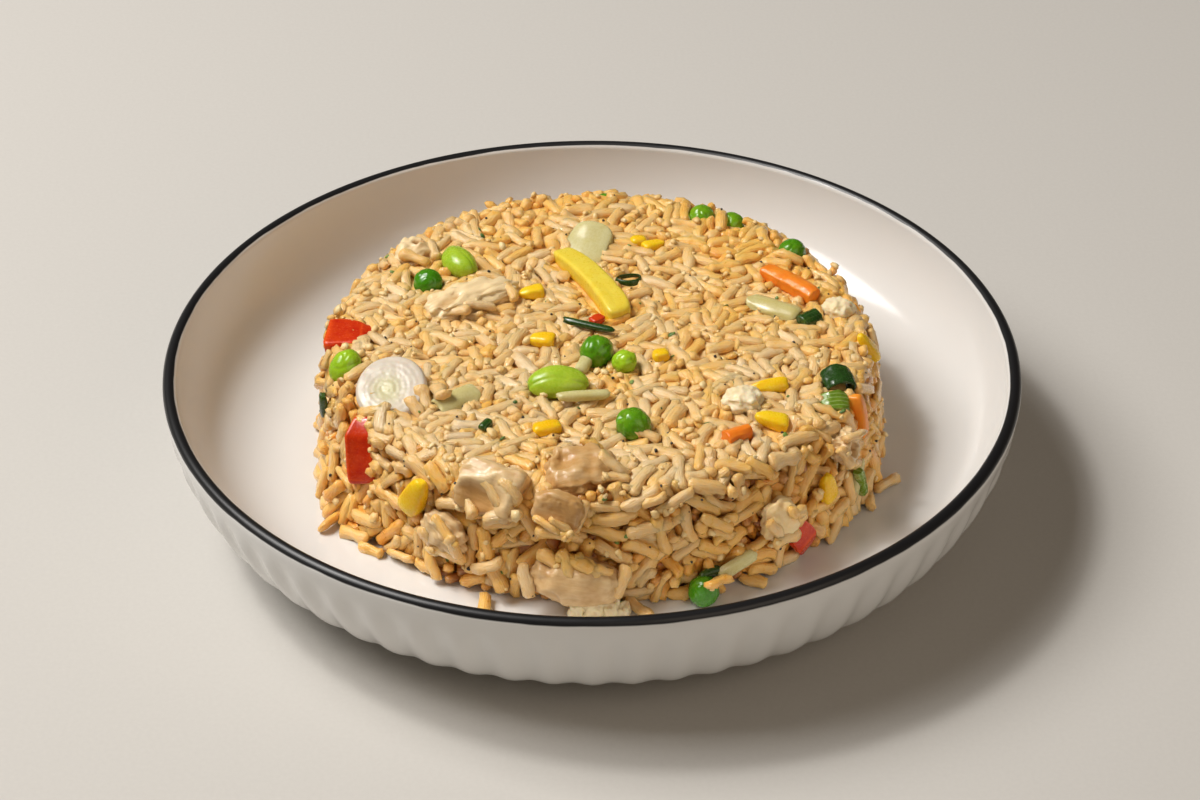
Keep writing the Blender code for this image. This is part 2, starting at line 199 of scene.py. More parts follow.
def meshObject(name, mesh, material=None):
    made = bpy.data.objects.new(name, mesh)
    scene.collection.objects.link(made)
    if material:
        mesh.materials.clear()
        mesh.materials.append(material)
    return made


def evaluatedMesh(source):
    bpy.context.view_layer.update()
    shown = source.evaluated_get(bpy.context.evaluated_depsgraph_get())
    return bpy.data.meshes.new_from_object(shown)


def vertexArray(mesh, field="vertices"):
    values = np.empty(len(mesh.vertices) * 3, np.float32)
    if field == "vertices":
        mesh.vertices.foreach_get("co", values)
    else:
        mesh.vertex_normals.foreach_get("vector", values)
    return values.reshape(-1, 3).astype(float)


def storeAttribute(mesh, name, values):
    values = np.asarray(values, np.float32)
    if values.ndim == 1:
        mesh.attributes.new(name, "FLOAT", "POINT").data.foreach_set("value", values)
    else:
        mesh.attributes.new(name, "FLOAT_VECTOR", "POINT").data.foreach_set("vector", values.ravel())


def noiseAt(spots, scale, shift=0.0):
    offset = Vector((shift, -2.0 * shift, 1.7 * shift))
    return np.array([noise.noise(Vector(spot) * scale + offset) for spot in spots])


def unitVectors(vectors):
    return vectors / (np.linalg.norm(vectors, axis=1)[:, None] + 1e-12)


def smoothStep(share):
    return share * share * (3.0 - 2.0 * share)


# plate

plateShape = {
    "rimHeight": 0.0360, "lipRadius": 0.0016, "lipCentre": 0.1009,
    "outerRim": 0.1026, "outerBase": 0.0559, "outerDepth": 0.0332, "outerPowers": (1.59, 4.33),
    "innerRim": 0.0994, "floorRadius": 0.0640, "floorHeight": 0.0120, "innerPowers": (1.7, 4.5),
    "footRadii": (0.0615, 0.0625, 0.0655, 0.0663), "recessHeight": 0.0060,
    "flutes": 64, "fluteDepth": 0.0009, "fluteStart": 0.0036, "fluteFull": 0.0100,
    "fluteEnd": 0.068, "fluteFade": 0.012, "segmentsPerFlute": 9,
    "innerSteps": 26, "lipSteps": 14, "outerSteps": 30,
}


def wallRadius(depth, fullDepth, baseRadius, rimRadius, powers):
    share = max(0.0, 1.0 - (depth / fullDepth) ** powers[0])
    return baseRadius + (rimRadius - baseRadius) * share ** (1.0 / powers[1])


def plateProfile(shape):
    # (radius, height, share of flute), from the middle of the floor round to the middle of the underside
    points = [(0.0, shape["floorHeight"], 0.0)]
    innerDepth = shape["rimHeight"] - shape["floorHeight"]
    for share in (0.25, 0.5, 0.8):
        points.append((share * shape["floorRadius"], shape["floorHeight"], 0.0))
    for step in range(shape["innerSteps"] + 1):
        depth = innerDepth - (innerDepth - shape["lipRadius"]) * (step / shape["innerSteps"]) ** 2.2
        radius = wallRadius(depth, innerDepth, shape["floorRadius"], shape["innerRim"], shape["innerPowers"])
        points.append((radius, shape["rimHeight"] - depth, 0.0))
    for step in range(1, shape["lipSteps"]):
        angle = math.pi * (1.0 - step / shape["lipSteps"])
        points.append((shape["lipCentre"] + shape["lipRadius"] * math.cos(angle),
                       shape["rimHeight"] - shape["lipRadius"] * (1.0 - math.sin(angle)), 0.0))
    for step in range(shape["outerSteps"] + 1):
        turn = step / shape["outerSteps"]
        wall = shape["outerDepth"] - shape["lipRadius"]
        depth = shape["lipRadius"] + wall * math.sin(0.5 * math.pi * turn)
        radius = wallRadius(depth, shape["outerDepth"], shape["outerBase"], shape["outerRim"],
                            shape["outerPowers"])
        if radius < shape["footRadii"][3]:
            break
        growth = (depth - shape["fluteStart"]) / (shape["fluteFull"] - shape["fluteStart"])
        growth = min(1.0, max(0.0, growth))
        fade = min(1.0, max(0.0, (radius - shape["fluteEnd"]) / shape["fluteFade"]))
        points.append((radius, shape["rimHeight"] - depth, smoothStep(growth) * fade))
    recessEdge, footInside, footOutside, footRoot = shape["footRadii"]
    footTop = shape["rimHeight"] - shape["outerDepth"]
    points += [(footRoot, footTop, 0.0), (footOutside + 0.0003, 0.0012, 0.0), (footOutside, 0.0003, 0.0),
               (footOutside - 0.0003, 0.0, 0.0), (footInside + 0.0003, 0.0, 0.0), (footInside, 0.0003, 0.0),
               (recessEdge + 0.0004, 0.0050, 0.0), (recessEdge - 0.0006, shape["recessHeight"], 0.0),
               (0.030, shape["recessHeight"], 0.0), (0.0, shape["recessHeight"], 0.0)]
    return points


def turnedMesh(name, profile, segments):
    # revolve a profile whose first and last points are on the axis
    angles = np.arange(segments) * (2.0 * math.pi / segments)
    inner = np.array([(radius, height) for radius, height, *_ in profile[1:-1]])
    spots = np.stack([inner[:, :1] * np.cos(angles), inner[:, :1] * np.sin(angles),
                      np.repeat(inner[:, 1:], segments, axis=1)], axis=2).reshape(-1, 3)
    first, last = len(spots), len(spots) + 1
    spots = np.vstack([spots, [(0.0, 0.0, profile[0][1]), (0.0, 0.0, profile[-1][1])]])
    faces = []
    for ring in range(len(inner) - 1):
        for index in range(segments):
            following = (index + 1) % segments
            faces.append((ring * segments + index, ring * segments + following,
                          (ring + 1) * segments + following, (ring + 1) * segments + index))
    bottom = (len(inner) - 1) * segments
    for index in range(segments):
        following = (index + 1) % segments
        faces.append((first, following, index))
        faces.append((last, bottom + index, bottom + following))
    mesh = bpy.data.meshes.new(name)
    mesh.from_pydata(spots.tolist(), [], faces)
    mesh.shade_smooth()
    return mesh


def pointOutwards(mesh):
    bm = bmesh.new()
    bm.from_mesh(mesh)
    bmesh.ops.recalc_face_normals(bm, faces=bm.faces)
    bm.to_mesh(mesh)
    bm.free()


def fluteTree():
    tree, given = startTree("flutedWall", Flutes="Float", Depth="Float", Glaze="Material")
    apart = splitVector(tree, addNode(tree, "GeometryNodeInputPosition").outputs[0])
    angle = mathNode(tree, "ARCTAN2", apart["X"], apart["Y"])
    wave = mathNode(tree, "COSINE", mathNode(tree, "MULTIPLY", angle, given["Flutes"]))
    share = addNode(tree, "GeometryNodeInputNamedAttribute", {"Name": "fluteShare"}, data_type="FLOAT")
    reach = mathNode(tree, "MULTIPLY", mathNode(tree, "MULTIPLY", wave, share.outputs["Attribute"]),
                     mathNode(tree, "MULTIPLY", given["Depth"], 0.5))
    flat = addNode(tree, "ShaderNodeCombineXYZ", {"X": apart["X"], "Y": apart["Y"]}).outputs[0]
    outward = addNode(tree, "ShaderNodeVectorMath", {0: flat}, operation="NORMALIZE").outputs[0]
    move = addNode(tree, "ShaderNodeVectorMath", {0: outward, "Scale": reach}, operation="SCALE").outputs[0]
    moved = addNode(tree, "GeometryNodeSetPosition", {"Geometry": given["Geometry"], "Offset": move})
    return endTree(tree, moved.outputs[0], given["Glaze"])


def applyTree(source, tree, **values):
    modifier = source.modifiers.new(tree.name, "NODES")
    modifier.node_group = tree
    for item in tree.interface.items_tree:
        if item.in_out == "INPUT" and item.name in values:
            modifier[item.identifier] = values[item.name]
    made = evaluatedMesh(source)
    bpy.data.objects.remove(source)
    return made


glazeLook = {
    "white": (0.75, 0.74, 0.715), "black": (0.006, 0.006, 0.007), "foot": (0.70, 0.66, 0.60),
    "roughness": (0.13, 0.19), "bandRoughness": 0.35,
    "bandInner": -0.0013, "bandOuter": 0.0021, "wobble": 0.0006,  # black line, from the crest of the lip
}


def glazeMaterial():
    material, tree, shader = newMaterial("whiteGlaze")
    look = glazeLook
    spot = objectSpot(tree)
    along = attributeNode(tree, "rimAlong").outputs["Fac"]
    along = mathNode(tree, "ADD", along, centred(tree, noiseNode(tree, spot, 90.0), look["wobble"]))
    inside = mapRange(tree, along, look["bandInner"] - 0.00015, look["bandInner"] + 0.00015)
    outside = mapRange(tree, along, look["bandOuter"] + 0.0002, look["bandOuter"] - 0.0002)
    band = mathNode(tree, "MULTIPLY", inside, outside)
    bare = mapRange(tree, splitVector(tree, spot)["Z"], 0.0006, 0.0002)  # the foot's unglazed edge
    speck = mapRange(tree, noiseNode(tree, spot, 30.0, 3.0), 0.35, 0.75)
    white = mixColour(tree, speck, look["white"], tuple(0.985 * v for v in look["white"]))
    body = mixColour(tree, bare, white, look["foot"])
    colour = mixColour(tree, band, body, look["black"])
    dull = mathNode(tree, "ADD", bare, mathNode(tree, "MULTIPLY", band, look["bandRoughness"]))
    shine = mapRange(tree, noiseNode(tree, spot, 60.0, 4.0), 0.2, 0.8, *look["roughness"])
    rough = mathNode(tree, "ADD", shine, mathNode(tree, "MULTIPLY", dull, 0.6))
    ripple = bumpNode(tree, noiseNode(tree, spot, 110.0, 2.0), 0.00006, 0.5)
    setShader(shader, colour=colour, roughness=rough, normal=ripple, ior=1.52)
    return material


def buildPlate():
    shape = plateShape
    profile = plateProfile(shape)
    segments = shape["flutes"] * shape["segmentsPerFlute"]
    mesh = turnedMesh("plateGlazed", profile, segments)
    pointOutwards(mesh)
    crest = max(range(len(profile)), key=lambda index: profile[index][1])
    along = [0.0]
    for before, after in zip(profile, profile[1:]):
        along.append(along[-1] + math.hypot(after[0] - before[0], after[1] - before[1]))
    along = np.array(along) - along[crest]
    shares = np.array([point[2] for point in profile])
    storeAttribute(mesh, "rimAlong", np.append(np.repeat(along[1:-1], segments), along[[0, -1]]))
    storeAttribute(mesh, "fluteShare", np.append(np.repeat(shares[1:-1], segments), [0.0, 0.0]))
    glaze = glazeMaterial()
    source = meshObject("plateSource", mesh)
    fluted = applyTree(source, fluteTree(), Flutes=float(shape["flutes"]), Depth=shape["fluteDepth"],
                       Glaze=glaze)
    plate = meshObject("plateGlazed", fluted, glaze)
    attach(plate, "root")
    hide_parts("plate")


buildPlate()
print("plate made")


# the drum that the rice was pressed into

drumShape = {
    "centre": (0.0020, 0.0), "base": plateShape["floorHeight"], "top": 0.0420,
    "baseRadius": 0.0694, "shoulderRadius": 0.0660, "corner": 0.0060,
    "backRise": 0.0018, "backStart": 0.016, "backEnd": 0.056,
    # azimuth, spread and reach of the places where rice has slid out at the foot
    "slides": ((209.0, 11.0, 0.0050), (243.0, 9.0, 0.0012), (262.0, 8.0, -0.0022),
               (279.0, 6.0, -0.0020), (339.0, 9.0, 0.0030), (60.0, 12.0, 0.0020)),
}


def drumRise(spots):
    # the top stands a little higher towards the back
    start, end = drumShape["backStart"], drumShape["backEnd"]
    back = np.clip((spots[:, 1] - start) / (end - start), 0.0, 1.0)
    return drumShape["backRise"] * back * back * (3.0 - 2.0 * back)


def drumDistance(spots):
    # how far each spot is outside the drum's surface, and the direction straight out of it
    drum = drumShape
    across = spots[:, :2] - drum["centre"]
    reach = np.linalg.norm(across, axis=1) + 1e-9
    height = spots[:, 2]
    top = drum["top"] + drumRise(spots)
    cornerHeight = top - drum["corner"]
    share = np.clip((height - drum["base"]) / (cornerHeight - drum["base"]), 0.0, 1.0)
    side = drum["baseRadius"] + share * (drum["shoulderRadius"] - drum["baseRadius"])
    turn = np.degrees(np.arctan2(across[:, 1], across[:, 0]))
    for azimuth, spread, slide in drum["slides"]:
        apart = (turn - azimuth + 180.0) % 360.0 - 180.0
        side = side + slide * np.exp(-(apart / spread) ** 2) * (1.0 - share) ** 2
    sideways, upward = reach - (side - drum["corner"]), height - cornerHeight
    atCorner = (sideways > 0.0) & (upward > 0.0)
    far = np.hypot(sideways, upward) + 1e-9
    overSide, overTop = reach - side, height - top
    distance = np.where(atCorner, far - drum["corner"], np.maximum(overSide, overTop))
    fromTop = overTop > overSide
    outward = np.where(atCorner, sideways / far, np.where(fromTop, 0.0, 1.0))
    rise = np.where(atCorner, upward / far, np.where(fromTop, 1.0, 0.0))
    normal = np.stack([outward * across[:, 0] / reach, outward * across[:, 1] / reach, rise], axis=1)
    return distance, normal


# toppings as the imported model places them

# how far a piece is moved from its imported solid, where that solid sits a little off
nudges = {
    "pea_back_a": (0.0006, -0.0018, -0.0002), "pea_back_b": (0.0, -0.0012, -0.0003),
    "pea_peep": (0.0, 0.0008, -0.0024), "pea_small": (-0.0012, -0.0006, 0.0),
    "pea_front": (0.0, -0.0012, 0.0), "pea_back_left": (-0.0006, 0.0, 0.0), "pea_base": (0.0, 0.0, -0.0008),
    "pepper_red_a": (-0.0022, 0.0, 0.0012), "pepper_red_b": (-0.0018, -0.0007, 0.0002),
    "pepper_yellow": (-0.0008, 0.0, 0.0), "corn_j": (-0.0006, 0.0, 0.0006),
    "carrot_b": (-0.0012, 0.0, 0.0), "carrot_c": (0.0, 0.0024, 0.0),
    "chicken_slab": (0.0034, -0.0006, 0.0046), "scallion_ribbed": (0.0014, 0.0, 0.0),
    "leek_back": (-0.0033, -0.0015, 0.0), "leek_slice": (-0.0008, -0.0006, -0.0012),
}
# how much of a piece's thickness holds the grains off it, by kind
holdShares = {"pea": 0.62, "pepper": 1.15}
usualHold = 0.80
topFacing = 0.6  # a surface whose outward direction rises more than this is on top of the heap


class Topping:
    # a CAD node's cage, its middle, its half sizes and its own directions: along, across and out of the rice
    def __init__(self, name):
        self.name = name
        bm = bmesh.new()
        bm.from_mesh(frame["nodes"][name].data)
        bmesh.ops.remove_doubles(bm, verts=bm.verts, dist=1e-6)
        bmesh.ops.join_triangles(bm, faces=bm.faces, angle_face_threshold=math.radians(12.0),
                                 angle_shape_threshold=math.radians(40.0))
        self.cage = bpy.data.meshes.new(name + "Cage")
        bm.to_mesh(self.cage)
        bm.free()
        spots = vertexArray(self.cage)
        centre = 0.5 * (spots.min(0) + spots.max(0))
        outward = drumDistance(centre[None, :])[1][0]
        spread = spots - spots.mean(0)
        directions = np.linalg.svd(spread, full_matrices=False)[2]
        through = max(directions, key=lambda direction: abs(direction @ outward))
        through = through * np.sign(through @ outward)
        flat = spread - np.outer(spread @ through, through)
        along = np.linalg.svd(flat, full_matrices=False)[2][0]
        across = np.cross(through, along)
        far = spread @ along > 0.0
        if np.abs(spread[far] @ across).mean() < np.abs(spread[~far] @ across).mean():
            along, across = -along, -across
        self.axes = np.stack([along, across, through])
        local = (spots - centre) @ self.axes.T
        nudge = nudges.get(name, (0.0, 0.0, 0.0))
        self.middle = centre + (0.5 * (local.min(0) + local.max(0))) @ self.axes + nudge
        self.half = 0.5 * (local.max(0) - local.min(0))

    def toLocal(self, spots):
        return (spots - self.middle) @ self.axes.T

    def toWorld(self, local):
        return self.middle + local @ self.axes

    def spheres(self):
        # spheres that nearly fill the piece, for the grains to settle round and a little over
        radius = self.half[2] * holdShares.get(self.name.split("_")[0], usualHold)
        steps = []
        for half in self.half[:2]:
            room = max(0.0, half * 0.94 - radius)
            steps.append(np.linspace(-room, room, 1 + int(math.ceil(2.0 * room / (0.8 * radius)))))
        local = np.array([(along, across, 0.0) for along in steps[0] for across in steps[1]])
        return self.toWorld(local), np.full(len(local), radius)


class SmallPiece(Topping):
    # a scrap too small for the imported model, placed by its distance and direction from the drum's axis
    def __init__(self, radius, azimuth, height, heading, half):
        turn = math.radians(azimuth)
        self.middle = np.array([drumShape["centre"][0] + radius * math.cos(turn),
                                drumShape["centre"][1] + radius * math.sin(turn), height])
        through = drumDistance(self.middle[None, :])[1][0]
        onSide = through[2] < topFacing
        level = np.array([-math.sin(turn), math.cos(turn), 0.0] if onSide else [1.0, 0.0, 0.0])
        rise = np.cross(through, level)
        heading = math.radians(heading)
        along = math.cos(heading) * level + math.sin(heading) * rise
        self.axes = np.stack([along, np.cross(through, along), through])
        self.half = np.array(half)


toppings = {name: Topping(name) for name in sorted(frame["nodes"]) if name not in ("plate", "rice")}


# rice

riceSettings = {
    "seed": 7, "grains": 4500, "kinds": 18,
    "length": 0.0086, "lengthSpread": 0.0013, "lengthLimits": (0.0042, 0.0110),
    "width": 0.0032, "widthSpread": 0.00028, "widthLimits": (0.0026, 0.0040),
    "brokenShare": 0.12, "brokenLength": (0.5, 0.8),
    "shell": 0.0074, "hiddenDepth": 0.0054,  # grains fill a shell this thick, and those deeper are left out
    "unevenness": (0.00012, 0.00085), "strayShare": 0.10, "strayReach": 0.0010,
    "links": 4, "rounds": 80, "softness": 0.75, "flatness": 0.86, "lean": (0.18, 0.5),
    "push": 0.3, "speed": 1.5, "turnRate": 1.2, "stride": 0.0008,
    "recheck": 6, "neighbourReach": 1.3, "heldReach": 0.0035, "heldPress": 0.8,
    # painted light and shade in the grains' tone: paler facing up, deeper on the front side and in the gaps
    # of the second layer
    "tone": (0.54, 0.09), "topLitPale": 0.13, "frontShadeDeep": 0.03, "backDeep": 0.13, "gapShadeDeep": 0.42,
    "laidLength": (0.0078, 0.0010, 0.0052, 0.0094), "laidWidth": (0.0031, 0.0002),  # lapping and loose grains
}
cookedGrain = {"length": 0.008, "width": 0.0031}  # the grain that grainMesh makes, before it is sized


def closePairs(spots, reach, owner):
    # pairs of spots nearer than reach, found through a grid of cells of that size
    cell = np.floor(spots / reach).astype(np.int64)
    cell -= cell.min(0) - 1
    size = cell.max(0) + 2
    key = (cell[:, 0] * size[1] + cell[:, 1]) * size[2] + cell[:, 2]
    order = np.argsort(key, kind="stable")
    ordered = key[order]
    near = (-1, 0, 1)
    steps = [(a, b, c) for a in near for b in near for c in near if (a, b, c) >= (0, 0, 0)]
    firsts, seconds = [], []
    for a, b, c in steps:
        other = key + (a * size[1] + b) * size[2] + c
        low = np.searchsorted(ordered, other, "left")
        count = np.searchsorted(ordered, other, "right") - low
        first = np.repeat(np.arange(len(spots)), count)
        start = np.repeat(low - (np.cumsum(count) - count), count)
        second = order[np.arange(len(first)) + start]
        keep = owner[first] != owner[second]
        if (a, b, c) == (0, 0, 0):
            keep &= first < second
        first, second = first[keep], second[keep]
        apart = spots[first] - spots[second]
        close = (apart * apart).sum(1) < reach * reach
        firsts.append(first[close])
        seconds.append(second[close])
    return np.concatenate(firsts), np.concatenate(seconds)


def startSpots(rng, count, shell):
    found = []
    low, high = np.array(riceLow), np.array(riceHigh)
    while sum(len(part) for part in found) < count:
        spots = rng.uniform(low, high, (60000, 3))
        distance = drumDistance(spots)[0]
        found.append(spots[(distance < -0.001) & (distance > -shell)])
    return np.concatenate(found)[:count]


def settleGrains(settings, heldMiddle, heldAxis):
    # rods of linked spheres pushed apart until they lie side by side in a shell under the drum's surface
    rng = np.random.default_rng(settings["seed"])
    count, links = settings["grains"], settings["links"]
    length = rng.normal(settings["length"], settings["lengthSpread"], count)
    broken = rng.random(count) < settings["brokenShare"]
    length[broken] *= rng.uniform(*settings["brokenLength"], broken.sum())
    length = length.clip(*settings["lengthLimits"])
    width = rng.normal(settings["width"], settings["widthSpread"], count).clip(*settings["widthLimits"])
    middle = startSpots(rng, count, settings["shell"])
    axis = rng.normal(size=(count, 3))
    normal = drumDistance(middle)[1]
    axis -= (axis * normal).sum(1)[:, None] * normal * settings["flatness"]
    axis = unitVectors(axis)
    half = 0.5 * (length - width)
    place = np.linspace(-1.0, 1.0, links)
    arm = place[None, :] * half[:, None]
    radius = np.repeat(0.5 * width, links)
    owner = np.repeat(np.arange(count), links)
    # the top was pressed flat and the sides broke out unevenly
    onSide = np.clip(1.4 - 1.6 * normal[:, 2], 0.0, 1.0)
    smooth, rough = settings["unevenness"]
    reachOut = rng.normal(0.0, 1.0, count) * (smooth + (rough - smooth) * onSide)
    reachOut += settings["strayReach"] * onSide * (rng.random(count) < settings["strayShare"])
    reachOut = np.repeat(reachOut, links)
    # the toppings and the listed grains stay where they are
    held = heldMiddle[:, None, :] + heldAxis[:, None, :] * np.linspace(-0.0022, 0.0022, 4)[None, :, None]
    fixed = [piece.spheres() for piece in toppings.values()]
    fixed.append((held.reshape(-1, 3), np.full(held.size // 3, 0.0011)))
    fixedSpots, fixedRadius = map(np.concatenate, zip(*fixed))
    for turn in range(settings["rounds"]):
        spots = (middle[:, None, :] + arm[:, :, None] * axis[:, None, :]).reshape(-1, 3)
        if turn % settings["recheck"] == 0:
            first, second = closePairs(spots, settings["neighbourReach"] * settings["width"], owner)
            apart = spots[:, None, :] - fixedSpots[None, :, :]
            grain, topping = np.nonzero((apart * apart).sum(2) < (fixedRadius + settings["heldReach"]) ** 2)
        apart = spots[first] - spots[second]
        distance = np.sqrt((apart * apart).sum(1)) + 1e-12
        over = (radius[first] + radius[second]) * settings["softness"] - distance
        hit = over > 0.0
        push = (settings["push"] * over[hit] / distance[hit])[:, None] * apart[hit]
        away = spots[grain] - fixedSpots[topping]
        distance = np.sqrt((away * away).sum(1)) + 1e-12
        press = fixedRadius[topping] + settings["heldPress"] * radius[grain] - distance
        press = np.maximum(press, 0.0) / distance
        move = np.empty_like(spots)
        for side in range(3):
            move[:, side] = (np.bincount(first[hit], push[:, side], len(spots))
                             - np.bincount(second[hit], push[:, side], len(spots))
                             + np.bincount(grain, press * away[:, side], len(spots)))
        outside, normal = drumDistance(spots)
        move -= normal * np.maximum(outside + radius - reachOut, 0.0)[:, None]
        move += normal * (0.5 * np.maximum(-settings["shell"] - outside, 0.0))[:, None]
        move[:, 2] += np.maximum(drumShape["base"] + 0.0001 + radius - spots[:, 2], 0.0)
        move = move.reshape(count, links, 3)
        step = settings["speed"] * move.mean(1)
        stride = np.linalg.norm(step, axis=1) + 1e-12
        middle += step * np.minimum(1.0, settings["stride"] / stride)[:, None]
        swing = settings["turnRate"] * (move * arm[:, :, None]).sum(1)
        axis = unitVectors(axis + swing / (arm ** 2).sum(1)[:, None])
    return middle, axis, length, width


def grainMesh(name, rng):
    # one cooked grain lying along X: blunt ends, a slight bend and uneven flats
    sides, rings = 6, (-0.96, -0.80, -0.46, 0.02, 0.48, 0.81, 0.96)
    bend, flat = rng.uniform(-0.95, 0.95) * mm, rng.uniform(0.58, 0.82)
    blunt = rng.uniform(3.5, 16.0, 2)
    waist = rng.uniform(-0.16, 0.12, 2)
    phase = rng.uniform(0.0, 6.28, 2)
    bm = bmesh.new()
    loops = []
    for along in rings:
        size = 1.64 * mm * math.sqrt(1.0 - abs(along) ** (blunt[0] if along < 0.0 else blunt[1]))
        size *= 1.0 + waist[0] * math.cos(4.0 * along + phase[0]) + waist[1] * along
        aside = rng.normal(0.0, 0.12, 2) * mm
        loop = []
        for index in range(sides):
            angle = 2.0 * math.pi * index / sides + 0.4 * along
            facet = 1.0 + 0.07 * math.sin(2.0 * angle + phase[1]) + rng.uniform(-0.12, 0.12)
            loop.append(bm.verts.new((4.0 * mm * (along + rng.uniform(-0.03, 0.03)),
                                      size * facet * math.cos(angle) + bend * (1.0 - along ** 2) + aside[0],
                                      flat * size * facet * math.sin(angle) + aside[1])))
        loops.append(loop)
    for before, after in zip(loops, loops[1:]):
        for index in range(sides):
            following = (index + 1) % sides
            bm.faces.new((before[index], before[following], after[following], after[index]))
    for loop, along in ((loops[0], -1.0), (loops[-1], 1.0)):
        tip = bm.verts.new((4.0 * mm * along, 0.0, 0.0))
        for index in range(sides):
            bm.faces.new((loop[index], loop[(index + 1) % sides], tip))
    bmesh.ops.recalc_face_normals(bm, faces=bm.faces)
    mesh = bpy.data.meshes.new(name)
    bm.to_mesh(mesh)
    bm.free()
    mesh.shade_smooth()
    storeAttribute(mesh, "grainSpot", vertexArray(mesh) / mm)
    return mesh


def scatterTree():
    # puts a chosen shape on every point, turned and sized by the point's own attributes
    tree, given = startTree("scatteredPieces", Shapes="Collection", Finish="Material")

    def named(name, kind):
        return addNode(tree, "GeometryNodeInputNamedAttribute", {"Name": name},
                       data_type=kind).outputs["Attribute"]

    points = addNode(tree, "GeometryNodeMeshToPoints", {"Mesh": given["Geometry"]}).outputs[0]
    shapes = addNode(tree, "GeometryNodeCollectionInfo",
                     {"Collection": given["Shapes"], "Separate Children": True, "Reset Children": True})
    turn = addNode(tree, "FunctionNodeEulerToRotation", {0: named("turn", "FLOAT_VECTOR")}).outputs[0]
    placed = addNode(tree, "GeometryNodeInstanceOnPoints",
                     {"Points": points, "Instance": shapes.outputs[0], "Pick Instance": True,
                      "Instance Index": named("kind", "INT"), "Rotation": turn,
                      "Scale": named("size", "FLOAT_VECTOR")})
    return endTree(tree, placed.outputs[0], given["Finish"])


def shapeCollection(name, meshes):
    shapes = bpy.data.collections.new(name)
    scene.collection.children.link(shapes)
    for mesh in meshes:
        shapes.objects.link(bpy.data.objects.new(mesh.name, mesh))
    return shapes


def dropCollection(shapes):
    for shape in list(shapes.objects):
        bpy.data.objects.remove(shape)
    bpy.data.collections.remove(shapes)


def scatter(name, tree, shapes, finish, spots, turns, sizes, kinds, **extras):
    # sizes are (along, across, through) for each point
    mesh = bpy.data.meshes.new(name + "Points")
    mesh.from_pydata(spots.tolist(), [], [])
    storeAttribute(mesh, "turn", turns)
    storeAttribute(mesh, "size", sizes)
    mesh.attributes.new("kind", "INT", "POINT").data.foreach_set("value", np.asarray(kinds, np.int32))
    for extra, values in extras.items():
        storeAttribute(mesh, extra, values)
    source = meshObject(name + "Points", mesh)
    made = applyTree(source, tree, Shapes=shapes, Finish=finish)
    made.name = name
    return meshObject(name, made, finish)


def turnsFor(axes, up):
    # euler angles that lay X along each axis with Z near up
    side = unitVectors(np.cross(up, axes))
    upward = np.cross(axes, side)
    return np.array([Matrix((a, b, c)).transposed().to_euler()[:] for a, b, c in zip(axes, side, upward)])


riceLook = {
    # the first colour is painted shade, for the gaps down between grains
    "gap": (0.42, 0.14, 0.016), "deep": (0.93, 0.40, 0.050), "tan": (0.97, 0.55, 0.125),
    "pale": (0.86, 0.60, 0.28), "white": (0.85, 0.655, 0.40), "patchShare": 0.7, "fineShare": 0.45,
    "patchScale": 45.0, "fineScale": 700.0,
    "roughness": (0.26, 0.48), "coat": 1.0, "coatRoughness": 0.05,
    "glow": 0.45, "glowRadius": (1.0, 0.88, 0.70), "glowScale": 0.0008,
}


def riceMaterial():
    material, tree, shader = newMaterial("friedRice")
    look = riceLook
    spot = objectSpot(tree)
    tone = attributeNode(tree, "tone").outputs["Fac"]
    along = attributeNode(tree, "grainSpot").outputs["Vector"]
    length = mathNode(tree, "ABSOLUTE", splitVector(tree, along)["X"])
    patch = noiseNode(tree, spot, look["patchScale"], 2.0)
    fine = noiseNode(tree, spot, look["fineScale"], 3.0)
    share = mathNode(tree, "ADD", tone, centred(tree, patch, look["patchShare"]))
    share = mathNode(tree, "ADD", share, centred(tree, fine, look["fineShare"]))
    colour = ramp(tree, share, [(0.0, look["gap"]), (0.12, look["deep"]), (0.38, look["tan"]),
                                (0.70, look["pale"]), (1.0, look["white"])])
    # the grain ends are tinted tan, painted translucency where light shines through them
    tipGlow = mapRange(tree, length, 2.2, 4.0, 0.0, 0.35)
    colour = mixColour(tree, tipGlow, colour, look["tan"])
    rough = mapRange(tree, fine, 0.3, 0.7, *look["roughness"])
    dents = noiseNode(tree, stretchVector(tree, along, (0.25, 1.6, 1.6)), 2.0, 4.0)
    # the oil film is finely wrinkled, so that each grain carries small broken glints
    wrinkles = noiseNode(tree, stretchVector(tree, along, (0.8, 1.8, 1.8)), 1.4, 3.0, 0.6)
    setShader(shader, colour=colour, roughness=rough, subsurface=look["glow"], radius=look["glowRadius"],
              scale=look["glowScale"], coat=look["coat"], coatRoughness=look["coatRoughness"], ior=1.38,
              normal=bumpNode(tree, dents, 0.00045, 0.9), coatNormal=bumpNode(tree, wrinkles, 0.0004, 0.8))
    return material


coreShape = {"topInset": 0.0022, "sideInset": 0.0046, "cornerLoss": 0.0028, "segments": 220,
             "lumps": (0.0007, 0.0004)}
# the core's dark colour is painted shade for the gaps round the side; its light colour is the rice that fills
# the gaps on top
coreColourAndShade = {"dark": (0.18, 0.050, 0.006), "light": (0.92, 0.56, 0.18)}


def coreMaterial():
    material, tree, shader = newMaterial("riceDepth")
    spot = objectSpot(tree)
    patch = noiseNode(tree, spot, 330.0, 3.0)
    height = splitVector(tree, spot)["Z"]
    # darker lower down and paler near the top: painted shade in the side gaps
    share = mathNode(tree, "ADD", patch, mapRange(tree, height, 0.030, 0.038, -0.40, 0.18))
    colour = ramp(tree, share, [(0.25, coreColourAndShade["dark"]), (0.7, coreColourAndShade["light"])])
    setShader(shader, colour=colour, roughness=0.45, subsurface=0.3, radius=(1.0, 0.6, 0.3), scale=0.0012,
              normal=bumpNode(tree, patch, 0.0012))
    return material


